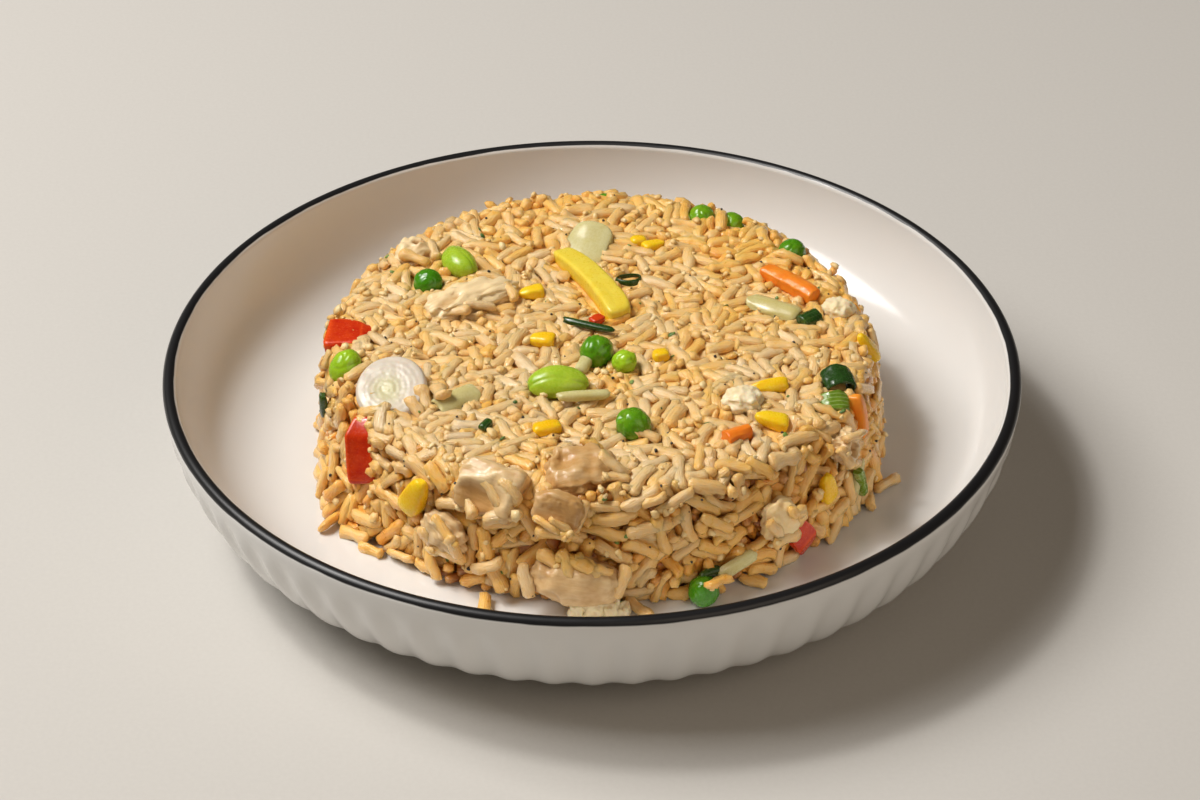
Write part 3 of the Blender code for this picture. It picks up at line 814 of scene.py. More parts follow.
def buildCore():
    # the close-packed rice that shows only in the gaps between the outer grains, darkened round the side as
    # painted shade
    drum = drumShape
    inset = coreShape["sideInset"]
    corner = drum["corner"] - coreShape["cornerLoss"]
    low, high = drum["base"] + 0.0003, drum["top"] - coreShape["topInset"]
    base, shoulder = drum["baseRadius"] - inset - 0.0008, drum["shoulderRadius"] - inset
    profile = [(0.0, high)] + [(share * (shoulder - corner), high) for share in np.linspace(0.03, 1.0, 34)]
    for step in range(1, 6):
        angle = 0.5 * math.pi * (1.0 - step / 5.0)
        profile.append((shoulder - corner + corner * math.cos(angle),
                        high - corner + corner * math.sin(angle)))
    for share in np.linspace(0.0, 1.0, 14)[1:]:
        profile.append((shoulder + share * (base - shoulder), high - corner + share * (low - high + corner)))
    profile += [(0.5 * base, low), (0.0, low)]
    mesh = turnedMesh("riceCore", profile, coreShape["segments"])
    spots = vertexArray(mesh)
    outward = unitVectors(spots - np.array([0.0, 0.0, 0.5 * (low + high)]))
    coarse, fine = coreShape["lumps"]
    lumps = coarse * noiseAt(spots, 330.0) + fine * noiseAt(spots, 800.0, 3.0)
    lumps[spots[:, 2] < low + 0.0004] = 0.0
    spots[:, 2] += drumRise(spots) * np.clip((spots[:, 2] - 0.030) / 0.006, 0.0, 1.0)
    spots += outward * lumps[:, None]
    spots[:, :2] += drum["centre"]
    mesh.vertices.foreach_set("co", spots.ravel())
    mesh.update()
    pointOutwards(mesh)
    core = meshObject("riceCore", mesh, coreMaterial())
    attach(core, "root")
    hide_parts("rice")


# grains that lie over the edges of toppings: (angle round the piece, reach to its edge, heading, lift);
# angle and heading are 0 towards the front of a piece on top, or down from a piece on the side
lapGrains = {
    "leek_slice": ((-20, 1.02, 70, 0.1), (2, 1.03, 80, 0.3), (24, 1.02, 60, 0.4), (46, 1.03, 30, 0.3),
                   (70, 1.06, 15, 0.2)),
    "chicken_base": ((222, 0.98, 60, 0.4), (197, 0.95, 25, 0.6), (180, 1.0, 80, 0.5), (162, 0.80, 15, 0.6),
                     (150, 1.0, 50, 0.4), (130, 0.95, 75, 0.4), (-92, 1.0, 15, 0.3), (96, 1.02, -20, 0.2)),
    "chicken_shoulder": ((30, 0.30, 15, 0.45), (60, 0.74, 12, 0.65), (-80, 0.95, 15, 0.1),
                         (10, 1.05, 80, 0.3)),
    "chicken_slab": ((-32, 0.92, 70, 0.6), (35, 0.95, 50, 0.6), (0, 1.35, 95, 0.6)),
    "chicken_edge": ((100, 0.95, 60, 0.3), (70, 1.05, 100, 0.2), (160, 1.0, 75, 0.3)),
    "chicken_left": ((150, 0.9, 60, 0.5), (-60, 1.0, 30, 0.4), (20, 1.0, 80, 0.3), (90, 0.9, 10, 0.6)),
    "chicken_back": ((-30, 1.0, 70, 0.0), (20, 1.0, 100, 0.0), (150, 1.0, 80, 0.1), (95, 1.0, 30, 0.1)),
    "chicken_corner": ((0, 1.0, 70, 0.1), (80, 1.0, 20, 0.1)),
    "chicken_right": ((0, 1.0, 60, 0.4), (-90, 1.0, 20, 0.4), (170, 0.9, 80, 0.5)),
    "pea_base": ((180, 0.95, 75, 0.7),),
    "pea_front": ((40, 1.1, 60, -0.3),),
    "pea_right": ((-20, 1.0, 80, 0.0),),
    "pea_peep": ((0, 0.5, 85, 0.9), (60, 0.9, 60, 0.5), (-60, 0.9, 100, 0.5)),
    "egg_side": ((-80, 0.95, 30, 0.5), (0, 0.95, 80, 0.5), (140, 0.95, 60, 0.5), (90, 1.0, 10, 0.3)),
    "onion_left": ((-90, 1.0, 20, 0.5),),
}
# grains that rolled off onto the plate: (radius, azimuth, heading)
looseGrains = ((0.0738, 249, 20), (0.0738, 211, 20), (0.0715, 222, 110),
               (0.0700, 277, 30), (0.0718, 341, 60), (0.0700, 335, 120), (0.0690, 300, 40),
               (0.0740, 78, 30), (0.0760, 81, 100), (0.0730, 128, 75))


def addedGrains(rng):
    # middles and directions of the lapping and the loose grains
    middles, axes = [], []
    for name, grains in lapGrains.items():
        piece = toppings[name]
        through = piece.axes[2]
        facing = np.array([0.0, -1.0, 0.0]) if through[2] > 0.5 else np.array([0.0, 0.0, -1.0])
        facing = unitVectors((facing - through * (facing @ through))[None, :])[0]
        right = np.cross(through, facing)
        for angle, reach, heading, lift in grains:
            angle, heading = math.radians(angle), math.radians(heading)
            direction = math.cos(angle) * facing + math.sin(angle) * right
            edge = 1.0 / math.hypot(direction @ piece.axes[0] / piece.half[0],
                                    direction @ piece.axes[1] / piece.half[1])
            middles.append(piece.middle + reach * edge * direction
                           + (lift * piece.half[2] + 0.0010) * through)
            axis = math.cos(heading) * facing + math.sin(heading) * right
            axes.append(axis - through * (0.25 * np.sign(axis @ direction) + rng.uniform(-0.1, 0.1)))
    for radius, azimuth, heading in looseGrains:
        turn, heading = math.radians(azimuth), math.radians(azimuth + heading)
        middles.append(np.array([radius * math.cos(turn) + drumShape["centre"][0], radius * math.sin(turn),
                                 drumShape["base"] + 0.0014]))
        axes.append(np.array([math.cos(heading), math.sin(heading), rng.uniform(-0.08, 0.08)]))
    return np.array(middles), unitVectors(np.array(axes))


def buildRice(tree):
    settings = riceSettings
    rng = np.random.default_rng(settings["seed"] + 1)
    extraMiddle, extraAxis = addedGrains(rng)
    middle, axis, length, width = settleGrains(settings, extraMiddle, extraAxis)
    depth, normal = drumDistance(middle)
    seen = depth > -settings["hiddenDepth"]
    usual, spread, shortest, longest = settings["laidLength"]
    extraLength = rng.normal(usual, spread, len(extraMiddle)).clip(shortest, longest)
    extraWidth = rng.normal(*settings["laidWidth"], len(extraMiddle))
    extras = (extraMiddle, extraAxis, extraLength, extraWidth, *drumDistance(extraMiddle))
    middle, axis, length, width, depth, normal = [
        np.concatenate([values[seen], more])
        for values, more in zip((middle, axis, length, width, depth, normal), extras)]
    count = len(middle)
    # grains deeper in the heap are darker as painted shade, grains facing up paler as painted light, the
    # front side deeper as painted shade, and the grains towards the back and the right deeper
    tone = rng.normal(*settings["tone"], count) + 0.06 * np.clip(1.0 + depth / 0.003, -1.0, 1.0)
    tone += settings["topLitPale"] * (normal[:, 2] - 0.5) - settings["frontShadeDeep"] * (normal[:, 1] < -0.5)
    tone -= settings["backDeep"] * np.clip((middle[:, 1] + 0.4 * middle[:, 0]) / 0.05, 0.0, 1.0)
    # the second layer round the side is darkened as painted shade in the gaps
    gapShade = np.clip((-depth - 0.0024) / 0.0012, 0.0, 1.0) * np.clip(1.5 - 2.5 * normal[:, 2], 0.0, 1.0)
    tone -= settings["gapShadeDeep"] * gapShade
    kinds = rng.integers(0, settings["kinds"], count)
    # pressed grains lie flat side up
    onTop = normal[:, 2] > topFacing
    lean = np.where(onTop, *settings["lean"])
    up = unitVectors(normal + lean[:, None] * rng.normal(size=(count, 3)))
    turns = turnsFor(axis, up)
    thick = width / cookedGrain["width"]
    sizes = np.stack([length / cookedGrain["length"], thick, thick], axis=1)
    finish = riceMaterial()
    shapes = shapeCollection("grainShapes", [grainMesh(f"grain{index:02d}", rng)
                                             for index in range(settings["kinds"])])
    front = middle[:, 1] < 0.0
    for name, chosen in (("riceTop", onTop), ("riceFront", ~onTop & front), ("riceBack", ~onTop & ~front)):
        piece = scatter(name, tree, shapes, finish, middle[chosen], turns[chosen], sizes[chosen],
                        kinds[chosen], tone=tone[chosen])
        print(name, int(chosen.sum()), "grains")
        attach(piece, "root")
        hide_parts("rice")
    dropCollection(shapes)


def cubeGrid(cuts):
    bm = bmesh.new()
    bmesh.ops.create_cube(bm, size=2.0)
    bmesh.ops.subdivide_edges(bm, edges=bm.edges, cuts=cuts, use_grid_fill=True)
    spots = np.array([vertex.co[:] for vertex in bm.verts])
    faces = [tuple(vertex.index for vertex in face.verts) for face in bm.faces]
    bm.free()
    return spots, faces


bitKinds = 5  # shapes of each kind of bit
# things finer than rice, by kind: how many, half sizes (along, across, through) and how far they vary
bitSettings = {
    "pepperSpecks": {"seed": 21, "count": 150, "half": (0.00028, 0.00024, 0.00020), "spread": 0.35,
                     "dark": (0.012, 0.008, 0.005), "light": (0.05, 0.03, 0.018), "slot": "rice"},
    "riceCrumbs": {"seed": 22, "count": 380, "half": (0.00095, 0.00070, 0.00050), "spread": 0.30,
                   "dark": (0.82, 0.50, 0.15), "light": (0.94, 0.74, 0.38), "slot": "rice"},
    "herbFlecks": {"seed": 23, "count": 55, "half": (0.00062, 0.00040, 0.00014), "spread": 0.40,
                   "dark": (0.03, 0.10, 0.01), "light": (0.20, 0.32, 0.05), "slot": "scallion"},
}


restingLimits = {"depth": 0.0012, "facing": 0.55, "lowest": 0.016}


def restingSpots(rng, count):
    # places on the outer faces of the grains that look straight out of the heap, and their directions
    centres, normals = [], []
    for name in ("riceTop", "riceFront", "riceBack"):
        mesh = bpy.data.objects[name].data
        values = np.empty(len(mesh.polygons) * 3, np.float32)
        mesh.polygons.foreach_get("center", values)
        centres.append(values.reshape(-1, 3).astype(float).copy())
        mesh.polygons.foreach_get("normal", values)
        normals.append(values.reshape(-1, 3).astype(float))
    centres, normals = np.concatenate(centres), np.concatenate(normals)
    outside, outward = drumDistance(centres)
    limits = restingLimits
    bare = (outside > -limits["depth"]) & (centres[:, 2] > limits["lowest"])
    bare &= (normals * outward).sum(1) > limits["facing"]
    chosen = rng.choice(np.nonzero(bare)[0], count, replace=False)
    return centres[chosen], normals[chosen]


def buildBits(tree):
    for name, settings in bitSettings.items():
        rng = np.random.default_rng(settings["seed"])
        spots, normals = restingSpots(rng, settings["count"])
        count = len(spots)
        axes = unitVectors(np.cross(normals, rng.normal(size=(count, 3))))
        meshes = []
        for kind in range(bitKinds):
            unit, faces = cubeGrid(1)
            unit = unitVectors(unit) * (1.0 + rng.uniform(-0.22, 0.22, (len(unit), 1)))
            mesh = bpy.data.meshes.new(f"{name}{kind}")
            mesh.from_pydata(unit.tolist(), [], faces)
            mesh.shade_smooth()
            meshes.append(mesh)
        sizes = np.array(settings["half"]) * rng.normal(1.0, settings["spread"], (count, 1)).clip(0.4, 2.0)
        sizes = sizes * rng.uniform(0.8, 1.2, (count, 3))
        material, nodes, shader = newMaterial(name)
        patch = noiseNode(nodes, objectSpot(nodes), 400.0, 2.0)
        fine = noiseNode(nodes, objectSpot(nodes), 3000.0, 2.0)
        setShader(shader, colour=ramp(nodes, patch, [(0.35, settings["dark"]), (0.65, settings["light"])]),
                  roughness=mapRange(nodes, fine, 0.3, 0.7, 0.28, 0.5), coat=0.2,
                  normal=bumpNode(nodes, fine, 0.0002))
        shapes = shapeCollection(name + "Shapes", meshes)
        piece = scatter(name, tree, shapes, material, spots + normals * sizes[:, 2:] * 0.5,
                        turnsFor(axes, normals), sizes, rng.integers(0, bitKinds, count))
        dropCollection(shapes)
        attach(piece, "root")


buildCore()
scatterNodes = scatterTree()
buildRice(scatterNodes)
print("rice settled")
buildBits(scatterNodes)
print("crumbs scattered")


# topping shapes, in each piece's own directions

def surfaceNormals(spots, faces):
    mesh = bpy.data.meshes.new("scratch")
    mesh.from_pydata(spots.tolist(), [], faces)
    normals = vertexArray(mesh, "normals")
    bpy.data.meshes.remove(mesh)
    return normals


grids = {cuts: cubeGrid(cuts) for cuts in (5, 11, 17)}


def roundedBlock(power, cuts):
    # an evenly gridded block of half size 1: power 2 is a ball, 8 is nearly a brick
    spots, faces = grids[cuts]
    if power < 3.0:
        spots = np.tan(spots * 0.25 * math.pi)
    size = (np.abs(spots) ** power).sum(1) ** (1.0 / power)
    return spots / size[:, None], faces


def fold(values, sharpness=3.0):
    # narrow creases where noise crosses zero
    return np.clip(1.0 - sharpness * np.abs(values), 0.0, 1.0) ** 2


def peaShape(piece, seed, hollow=None):
    unit, faces = roundedBlock(2.0, 17)
    size = 1.0 + 0.05 * noiseAt(unit, 1.3, seed) + 0.008 * noiseAt(unit, 6.0, seed)
    size -= 0.060 * fold(noiseAt(unit, 1.3, seed + 20.0), 4.0)
    size -= 0.020 * fold(noiseAt(unit, 2.6, seed + 40.0), 4.0)
    if hollow is not None:
        spread = np.linalg.norm(unit - unitVectors(np.array([hollow]))[0], axis=1)
        size += 0.05 * np.exp(-((spread - 0.42) / 0.16) ** 2) - 0.17 * np.exp(-(spread / 0.26) ** 2)
    return unit * size[:, None] * piece.half, faces


def beanShape(piece, seed, size):
    unit, faces = roundedBlock(2.0, 17)
    local = unit * piece.half * size
    local[:, 1] += 0.14 * piece.half[1] * (0.5 - unit[:, 0] ** 2)
    size = 0.04 * noiseAt(unit, 1.6, seed) + 0.012 * noiseAt(unit, 5.0, seed)
    ridge = np.exp(-((unit[:, 1] + 0.25 + 0.1 * noiseAt(unit, 2.0, seed)) / 0.05) ** 2)
    size -= 0.07 * ridge * (unit[:, 2] > -0.3)
    return local * (1.0 + size)[:, None], faces


def kernelShape(piece, seed, size):
    unit, faces = roundedBlock(3.2, 11)
    narrow = 0.84 + 0.22 * unit[:, 0] - 0.10 * np.clip(-unit[:, 0] - 0.4, 0.0, 1.0)
    local = unit * piece.half * size
    local[:, 1:] *= narrow[:, None]
    dent = np.exp(-((unit[:, 1] / 0.45) ** 2 + (unit[:, 2] / 0.5) ** 2)) * np.clip(unit[:, 0], 0.0, 1.0)
    local[:, 0] -= 0.16 * piece.half[0] * dent
    return local * (1.0 + 0.07 * noiseAt(unit, 1.5, seed) + 0.02 * noiseAt(unit, 4.0, seed))[:, None], faces


def meatShape(piece, seed, power, ragged, fibre, lumps, hollow=None, lobes=0.0, strandAxis=0, beads=0.0,
              size=(1.0, 1.0, 1.0)):
    # torn or cut meat: ragged outline, grooved strands, soft lobes and sometimes a rimmed hollow;
    # hollow is (middle along, middle across, reach along, reach across, depth in half thicknesses)
    unit, faces = roundedBlock(power, 17)
    local = unit * piece.half * size
    across = np.stack([unit[:, 0], unit[:, 1], 0.35 * unit[:, 2]], axis=1)
    outline = 1.0 + ragged * (noiseAt(across, 1.5, seed) + 0.8 * noiseAt(across, 3.3, seed))
    local[:, :2] *= outline[:, None]
    # shade is painted light and shade: the rim of the hollow lighter, the hollow darker, raised lumps
    # lighter, lower ones and the strand grooves darker
    shade = np.zeros(len(unit))
    if hollow is not None:
        away = np.hypot((unit[:, 0] - hollow[0]) / hollow[2], (unit[:, 1] - hollow[1]) / hollow[3])
        away = away * (1.0 + 0.35 * noiseAt(unit, 1.8, seed + 7.0))
        deep = smoothStep(np.clip(1.3 - 1.3 * away, 0.0, 1.0)) * (unit[:, 2] > 0.0)
        rim = np.exp(-((away - 1.15) / 0.22) ** 2) * (unit[:, 2] > 0.0)
        rim *= np.clip(2.0 * (unit[:, 1] - hollow[1]), 0.0, 1.0)
        local[:, 2] += piece.half[2] * (0.22 * rim - hollow[4] * deep)
        shade += 0.25 * rim - 0.60 * deep
    spots = local / mm
    normals = surfaceNormals(local, faces)
    squeeze = (0.16, 1.0, 1.0) if strandAxis == 0 else (1.0, 0.16, 1.0)
    strands = fold(noiseAt(spots * squeeze, 0.85, seed), 3.5)
    bulge = 0.30 - np.abs(noiseAt(spots, 0.22, seed + 9.0))
    move = lumps * noiseAt(spots, 0.38, seed + 3.0) + 0.35 * lumps * noiseAt(spots, 0.9, seed + 5.0)
    move += lobes * bulge - fibre * strands
    if beads:
        edge = np.clip(np.abs(unit[:, 1]) * 4.0 - 2.6, 0.0, 1.0)
        move += beads * edge * (0.35 - 1.3 * np.abs(noiseAt(spots, 0.62, seed + 4.0)))
    shade += 0.25 * move / (0.35 + lumps + lobes) - 0.12 * strands
    return local + normals * move[:, None] * mm, faces, shade


def curdShape(piece, seed):
    # scrambled egg: soft round lumps with deep folds
    unit, faces = roundedBlock(2.4, 17)
    local = unit * piece.half * (1.2, 1.2, 0.9)
    local[:, :2] *= (1.0 + 0.30 * noiseAt(unit, 1.6, seed + 3.0))[:, None]
    spots = local / mm
    normals = surfaceNormals(local, faces)
    move = 1.1 * (0.34 - np.abs(noiseAt(spots, 0.42, seed))) + 0.5 * (0.2 - np.abs(noiseAt(spots, 1.0, seed)))
    return local + normals * move[:, None] * mm, faces


def roughened(local, normals, seed, roughness, fine):
    rough = noiseAt(local / mm, 0.45, seed) + 0.5 * noiseAt(local / mm, fine, seed)
    return local + normals * (roughness * rough)[:, None] * mm


def cutShape(piece, seed, crease=0.55, roughness=0.12):
    # a knife-cut piece: its packed cage, rounded a little at the cut edges
    cage = piece.cage
    bm = bmesh.new()
    bm.from_mesh(cage)
    layer = bm.edges.layers.float.new("crease_edge")
    for edge in bm.edges:
        if len(edge.link_faces) == 2 and edge.calc_face_angle(0.0) > math.radians(38.0):
            edge[layer] = crease
    bm.to_mesh(cage)
    bm.free()
    source = bpy.data.objects.new("cut", cage)
    scene.collection.objects.link(source)
    subdivide = source.modifiers.new("round", "SUBSURF")
    subdivide.levels = subdivide.render_levels = 3
    mesh = evaluatedMesh(source)
    bpy.data.objects.remove(source)
    spots = vertexArray(mesh)
    faces = [tuple(face.vertices) for face in mesh.polygons]
    normals = vertexArray(mesh, "normals")
    bpy.data.meshes.remove(mesh)
    return roughened(piece.toLocal(spots), normals @ piece.axes.T, seed, roughness, 1.3), faces


def scrapShape(piece, seed, power=4.0, curl=0.0):
    # a small torn or chopped scrap
    unit, faces = roundedBlock(power, 5)
    local = unit * piece.half
    local[:, 2] -= curl * piece.half[1] * unit[:, 1] ** 2
    return local * (1.0 + 0.12 * noiseAt(unit, 1.7, seed))[:, None], faces


def stripShape(piece, seed, bow, size, swell=0.0):
    # a cut strip bowed to one side, its long edges softly rounded
    unit, faces = roundedBlock(6.0, 17)
    local = unit * piece.half * size
    local[:, 1:] *= (1.0 + swell * unit[:, 0] + 0.06 * noiseAt(unit * (1.0, 0.2, 0.2), 1.6, seed))[:, None]
    local[:, 1] += bow * (0.45 - unit[:, 0] ** 2)
    local[:, 2] -= 0.0006 * unit[:, 0] ** 2
    return roughened(local, surfaceNormals(local, faces), seed, 0.12, 1.4), faces


def foldedShape(piece, seed, ridgeAxis, ridge, drop, size, bend=None):
    # a chunk of pepper with flat panels that fall away from a ridge, and a second fold near one end
    unit, faces = roundedBlock(7.0, 17)
    half = piece.half * size
    local = unit * half
    away = np.abs(unit[:, ridgeAxis] - ridge)
    local[:, 2] -= drop * piece.half[2] * away
    if bend is not None:
        local[:, 2] -= bend[1] * np.maximum(local[:, 0] - bend[0] * half[0], 0.0)
    local[:, 1] *= 1.0 - 0.15 * unit[:, 0] ** 2
    # shade is a painted highlight along the ridge and the cut edges, the rest a little darker
    edges = np.sort(np.abs(unit), axis=1)[:, 1]
    shade = 0.55 * np.exp(-(away / 0.10) ** 2) + 0.45 * np.clip((edges - 0.86) / 0.06, 0.0, 1.0) - 0.12
    warp = noiseAt(unit, 0.9, seed)
    local += np.stack([0.10 * warp, 0.16 * noiseAt(unit, 1.1, seed + 2.0), 0.10 * warp], axis=1) * half
    return local, faces, shade


def layerShape(piece, seed, curl=0.8, size=(1.1, 1.15, 0.6), tilt=0.0):
    # a translucent layer of onion or leek, curved across its width
    unit, faces = roundedBlock(4.0, 17)
    local = unit * piece.half * size
    local[:, 2] -= curl * piece.half[2] * unit[:, 1] ** 2
    local[:, 2] += piece.half[2] * (0.35 + 0.30 * noiseAt(unit, 1.1, seed)) - tilt * local[:, 0]
    local[:, :2] *= (1.0 + 0.14 * noiseAt(unit, 1.3, seed + 4.0))[:, None]
    return local, faces


def ringShape(piece, seed, reach, band, thick):
    # a cut ring of hollow leaf lying nearly flat: reach is its half sizes, band its height
    sides, steps = 8, 40
    spots, faces = [], []
    for step in range(steps):
        turn = 2.0 * math.pi * step / steps
        wobble = 1.0 + 0.10 * math.sin(3.0 * turn + seed)
        middle = np.array([reach[0] * math.cos(turn), reach[1] * math.sin(turn), 0.0]) * wobble
        outward = unitVectors(np.array([[middle[0] / reach[0] ** 2, middle[1] / reach[1] ** 2, 0.35e3]]))[0]
        upward = np.array([-0.3 * outward[0], -0.3 * outward[1], 1.0])
        for side in range(sides):
            angle = 2.0 * math.pi * side / sides
            spots.append(middle + outward * (1.0, 1.0, 0.0) * thick * math.cos(angle)
                         + upward * band * (1.0 + 0.15 * math.sin(2.0 * turn + seed)) * math.sin(angle))
    for step in range(steps):
        for side in range(sides):
            following, beside = (step + 1) % steps * sides, (side + 1) % sides
            faces.append((step * sides + side, following + side, following + beside, step * sides + beside))
    return np.array(spots), faces


def joinPieces(name, parts, finish, nodes):
    # parts are (piece, (local spots, faces, painted light and shade), tone); one mesh holds all of a kind
    spots, faces, places, tones = [], [], [], []
    count = 0
    for piece, (local, partFaces, *shade), tone in parts:
        spots.append(piece.toWorld(local))
        places.append(local / mm)
        tones.append(tone + (shade[0] if shade else np.zeros(len(local))))
        faces += [tuple(count + corner for corner in face) for face in partFaces]
        count += len(local)
    mesh = bpy.data.meshes.new(name)
    mesh.from_pydata(np.concatenate(spots).tolist(), [], faces)
    pointOutwards(mesh)
    mesh.shade_smooth()
    storeAttribute(mesh, "pieceSpot", np.concatenate(places))
    storeAttribute(mesh, "tone", np.concatenate(tones))
    made = meshObject(name, mesh, finish)
    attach(made, "root")
    if nodes:
        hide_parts(*nodes)
    return made


# each kind's finish: the deeper and the paler colour, how wet, how clear and how patched it is
foodLooks = {
    "peas": {"name": "peaSkin", "dark": (0.055, 0.235, 0.004), "light": (0.40, 0.64, 0.022),
             "roughness": (0.16, 0.32), "coat": 0.4, "glow": 0.20, "glowRadius": (0.4, 1.0, 0.2),
             "patch": 180.0, "patchShare": 0.45, "streakShare": 0.2, "bump": 0.00010},
    "edamame": {"name": "edamameSkin", "dark": (0.20, 0.40, 0.006), "light": (0.50, 0.65, 0.050),
                "roughness": (0.20, 0.36), "glowRadius": (0.5, 1.0, 0.2), "patch": 220.0, "bump": 0.00012},
    "corn": {"name": "cornKernel", "dark": (0.90, 0.48, 0.004), "light": (0.99, 0.76, 0.030),
             "roughness": (0.20, 0.36), "coat": 0.25, "glowRadius": (1.0, 0.6, 0.1), "patch": 200.0,
             "bump": 0.00012},
    "carrot": {"name": "carrotFlesh", "dark": (0.82, 0.15, 0.004), "light": (0.95, 0.34, 0.035),
               "roughness": (0.28, 0.45), "coat": 0.2, "glowRadius": (1.0, 0.35, 0.1),
               "stretch": (0.12, 1.0, 1.0), "bump": 0.00018},
    "pepperYellow": {"name": "yellowPepper", "dark": (0.78, 0.53, 0.010), "light": (0.84, 0.70, 0.095),
                     "flesh": (0.80, 0.48, 0.003), "fleshFrom": (0.2, -1.2), "roughness": (0.24, 0.42),
                     "coat": 0.2, "glowRadius": (1.0, 0.8, 0.1), "bump": 0.00015},
    "pepperRed": {"name": "redPepper", "dark": (0.46, 0.006, 0.002), "light": (0.78, 0.085, 0.010),
                  "flesh": (0.78, 0.16, 0.035), "fleshFrom": (-9.0, -12.0), "roughness": (0.16, 0.30),
                  "coat": 0.25, "glow": 0.04, "glowRadius": (1.0, 0.15, 0.05), "bump": 0.00012},
    "leekSlice": {"name": "leekRings", "dark": (0.62, 0.55, 0.42), "light": (0.68, 0.61, 0.50),
                  "heart": ((0.0, (0.61, 0.58, 0.30)), (0.28, (0.65, 0.60, 0.39)), (0.55, (0.68, 0.61, 0.49)),
                            (1.0, (0.68, 0.60, 0.50))),
                  "line": (0.62, 0.55, 0.40), "rings": 40.0, "roughness": (0.26, 0.42), "coat": 0.15,
                  "glow": 0.35, "bump": 0.00003},
    "onion": {"name": "onionLayer", "dark": (0.56, 0.47, 0.16), "light": (0.66, 0.62, 0.34),
              "roughness": (0.20, 0.36), "coat": 0.25, "glow": 0.45, "glowRadius": (1.0, 1.0, 0.6),
              "glowScale": 0.0025, "stretch": (0.12, 1.0, 1.0), "streak": 1.0, "bump": 0.00012},
    "scallion": {"name": "scallionLeaf", "dark": (0.018, 0.060, 0.008), "light": (0.16, 0.27, 0.020),
                 "vein": (0.42, 0.55, 0.20), "roughness": (0.18, 0.34), "coat": 0.4, "glow": 0.12,
                 "glowRadius": (0.3, 1.0, 0.3), "stretch": (0.1, 1.0, 1.0), "streak": 1.6,
                 "streakShare": 0.35, "bump": 0.0001},
    "chicken": {"name": "cookedChicken", "dark": (0.56, 0.31, 0.105), "light": (0.90, 0.70, 0.40),
                "roughness": (0.30, 0.48), "glow": 0.12, "patch": 160.0, "patchShare": 0.8,
                "stretch": (0.10, 1.0, 1.0), "streak": 1.1, "bump": 0.0003, "streakBump": 1.0},
    "egg": {"name": "scrambledEgg", "dark": (0.86, 0.60, 0.25), "light": (0.92, 0.80, 0.54),
            "roughness": (0.32, 0.48), "coat": 0.15, "glow": 0.30, "patch": 240.0, "bump": 0.0003},
}
usualLook = {"patch": 260.0, "patchShare": 0.9, "stretch": (1.0, 1.0, 1.0), "streak": 1.2, "streakShare": 0.5,
             "streakBump": 0.7, "glow": 0.25, "glowRadius": (1.0, 0.6, 0.3), "glowScale": 0.0015, "coat": 0.3}


def foodMaterial(kind):
    # a moist food finish: two colours in soft patches, paler or deeper by each piece's tone, which carries
    # its painted light and shade
    look = {**usualLook, **foodLooks[kind]}
    material, tree, shader = newMaterial(look["name"])
    local = attributeNode(tree, "pieceSpot").outputs["Vector"]
    tone = attributeNode(tree, "tone").outputs["Fac"]
    patch = noiseNode(tree, objectSpot(tree), look["patch"], 3.0)
    fine = noiseNode(tree, objectSpot(tree), 1500.0, 3.0, 0.6)
    streak = noiseNode(tree, stretchVector(tree, local, look["stretch"]), look["streak"], 3.0, 0.6)
    share = mathNode(tree, "ADD", tone, centred(tree, patch, look["patchShare"]))
    share = mathNode(tree, "ADD", share, centred(tree, streak, look["streakShare"]))
    colour = ramp(tree, share, [(0.1, look["dark"]), (0.9, look["light"])])
    height = mathNode(tree, "ADD", mathNode(tree, "MULTIPLY", streak, look["streakBump"]),
                      mathNode(tree, "MULTIPLY", fine, 0.3))
    setShader(shader, colour=colour, roughness=mapRange(tree, fine, 0.3, 0.7, *look["roughness"]), ior=1.38,
              subsurface=look["glow"], radius=look["glowRadius"], scale=look["glowScale"], coat=look["coat"],
              coatRoughness=0.12, normal=bumpNode(tree, height, look["bump"], 0.6))
    return material, tree, shader, colour, local


def plainFinish(kind):
    return foodMaterial(kind)[0]


def leekFinish(kind):
    # rings of leaf round a pale yellow-green heart
    material, tree, shader, colour, local = foodMaterial(kind)
    look, piece = foodLooks[kind], toppings["leek_slice"]
    apart = splitVector(tree, local)
    across = [mathNode(tree, "MULTIPLY", apart[axis], mm / float(piece.half[axis])) for axis in (0, 1)]
    squares = [mathNode(tree, "MULTIPLY", side, side) for side in across]
    reach = mathNode(tree, "ADD", mathNode(tree, "SQRT", mathNode(tree, "ADD", *squares)),
                     centred(tree, noiseNode(tree, local, 0.25, 2.0), 0.12))
    layers = mathNode(tree, "SINE", mathNode(tree, "MULTIPLY", reach, look["rings"]))
    line = mapRange(tree, layers, 0.2, 1.0, 0.0, 0.08)
    setShader(shader, colour=mixColour(tree, line, ramp(tree, reach, look["heart"]), look["line"]))
    tree.links.new(layers, shader.inputs["Normal"].links[0].from_node.inputs["Height"])
    return material


def skinFinish(kind):
    # pepper: glossy skin outside, paler flesh inside
    material, tree, shader, colour, local = foodMaterial(kind)
    look = foodLooks[kind]
    edge = mathNode(tree, "ADD", splitVector(tree, local)["Z"],
                    mathNode(tree, "MULTIPLY", noiseNode(tree, local, 0.7), 0.6))
    inner = mapRange(tree, edge, *look["fleshFrom"])
    setShader(shader, colour=mixColour(tree, inner, colour, look["flesh"]))
    return material


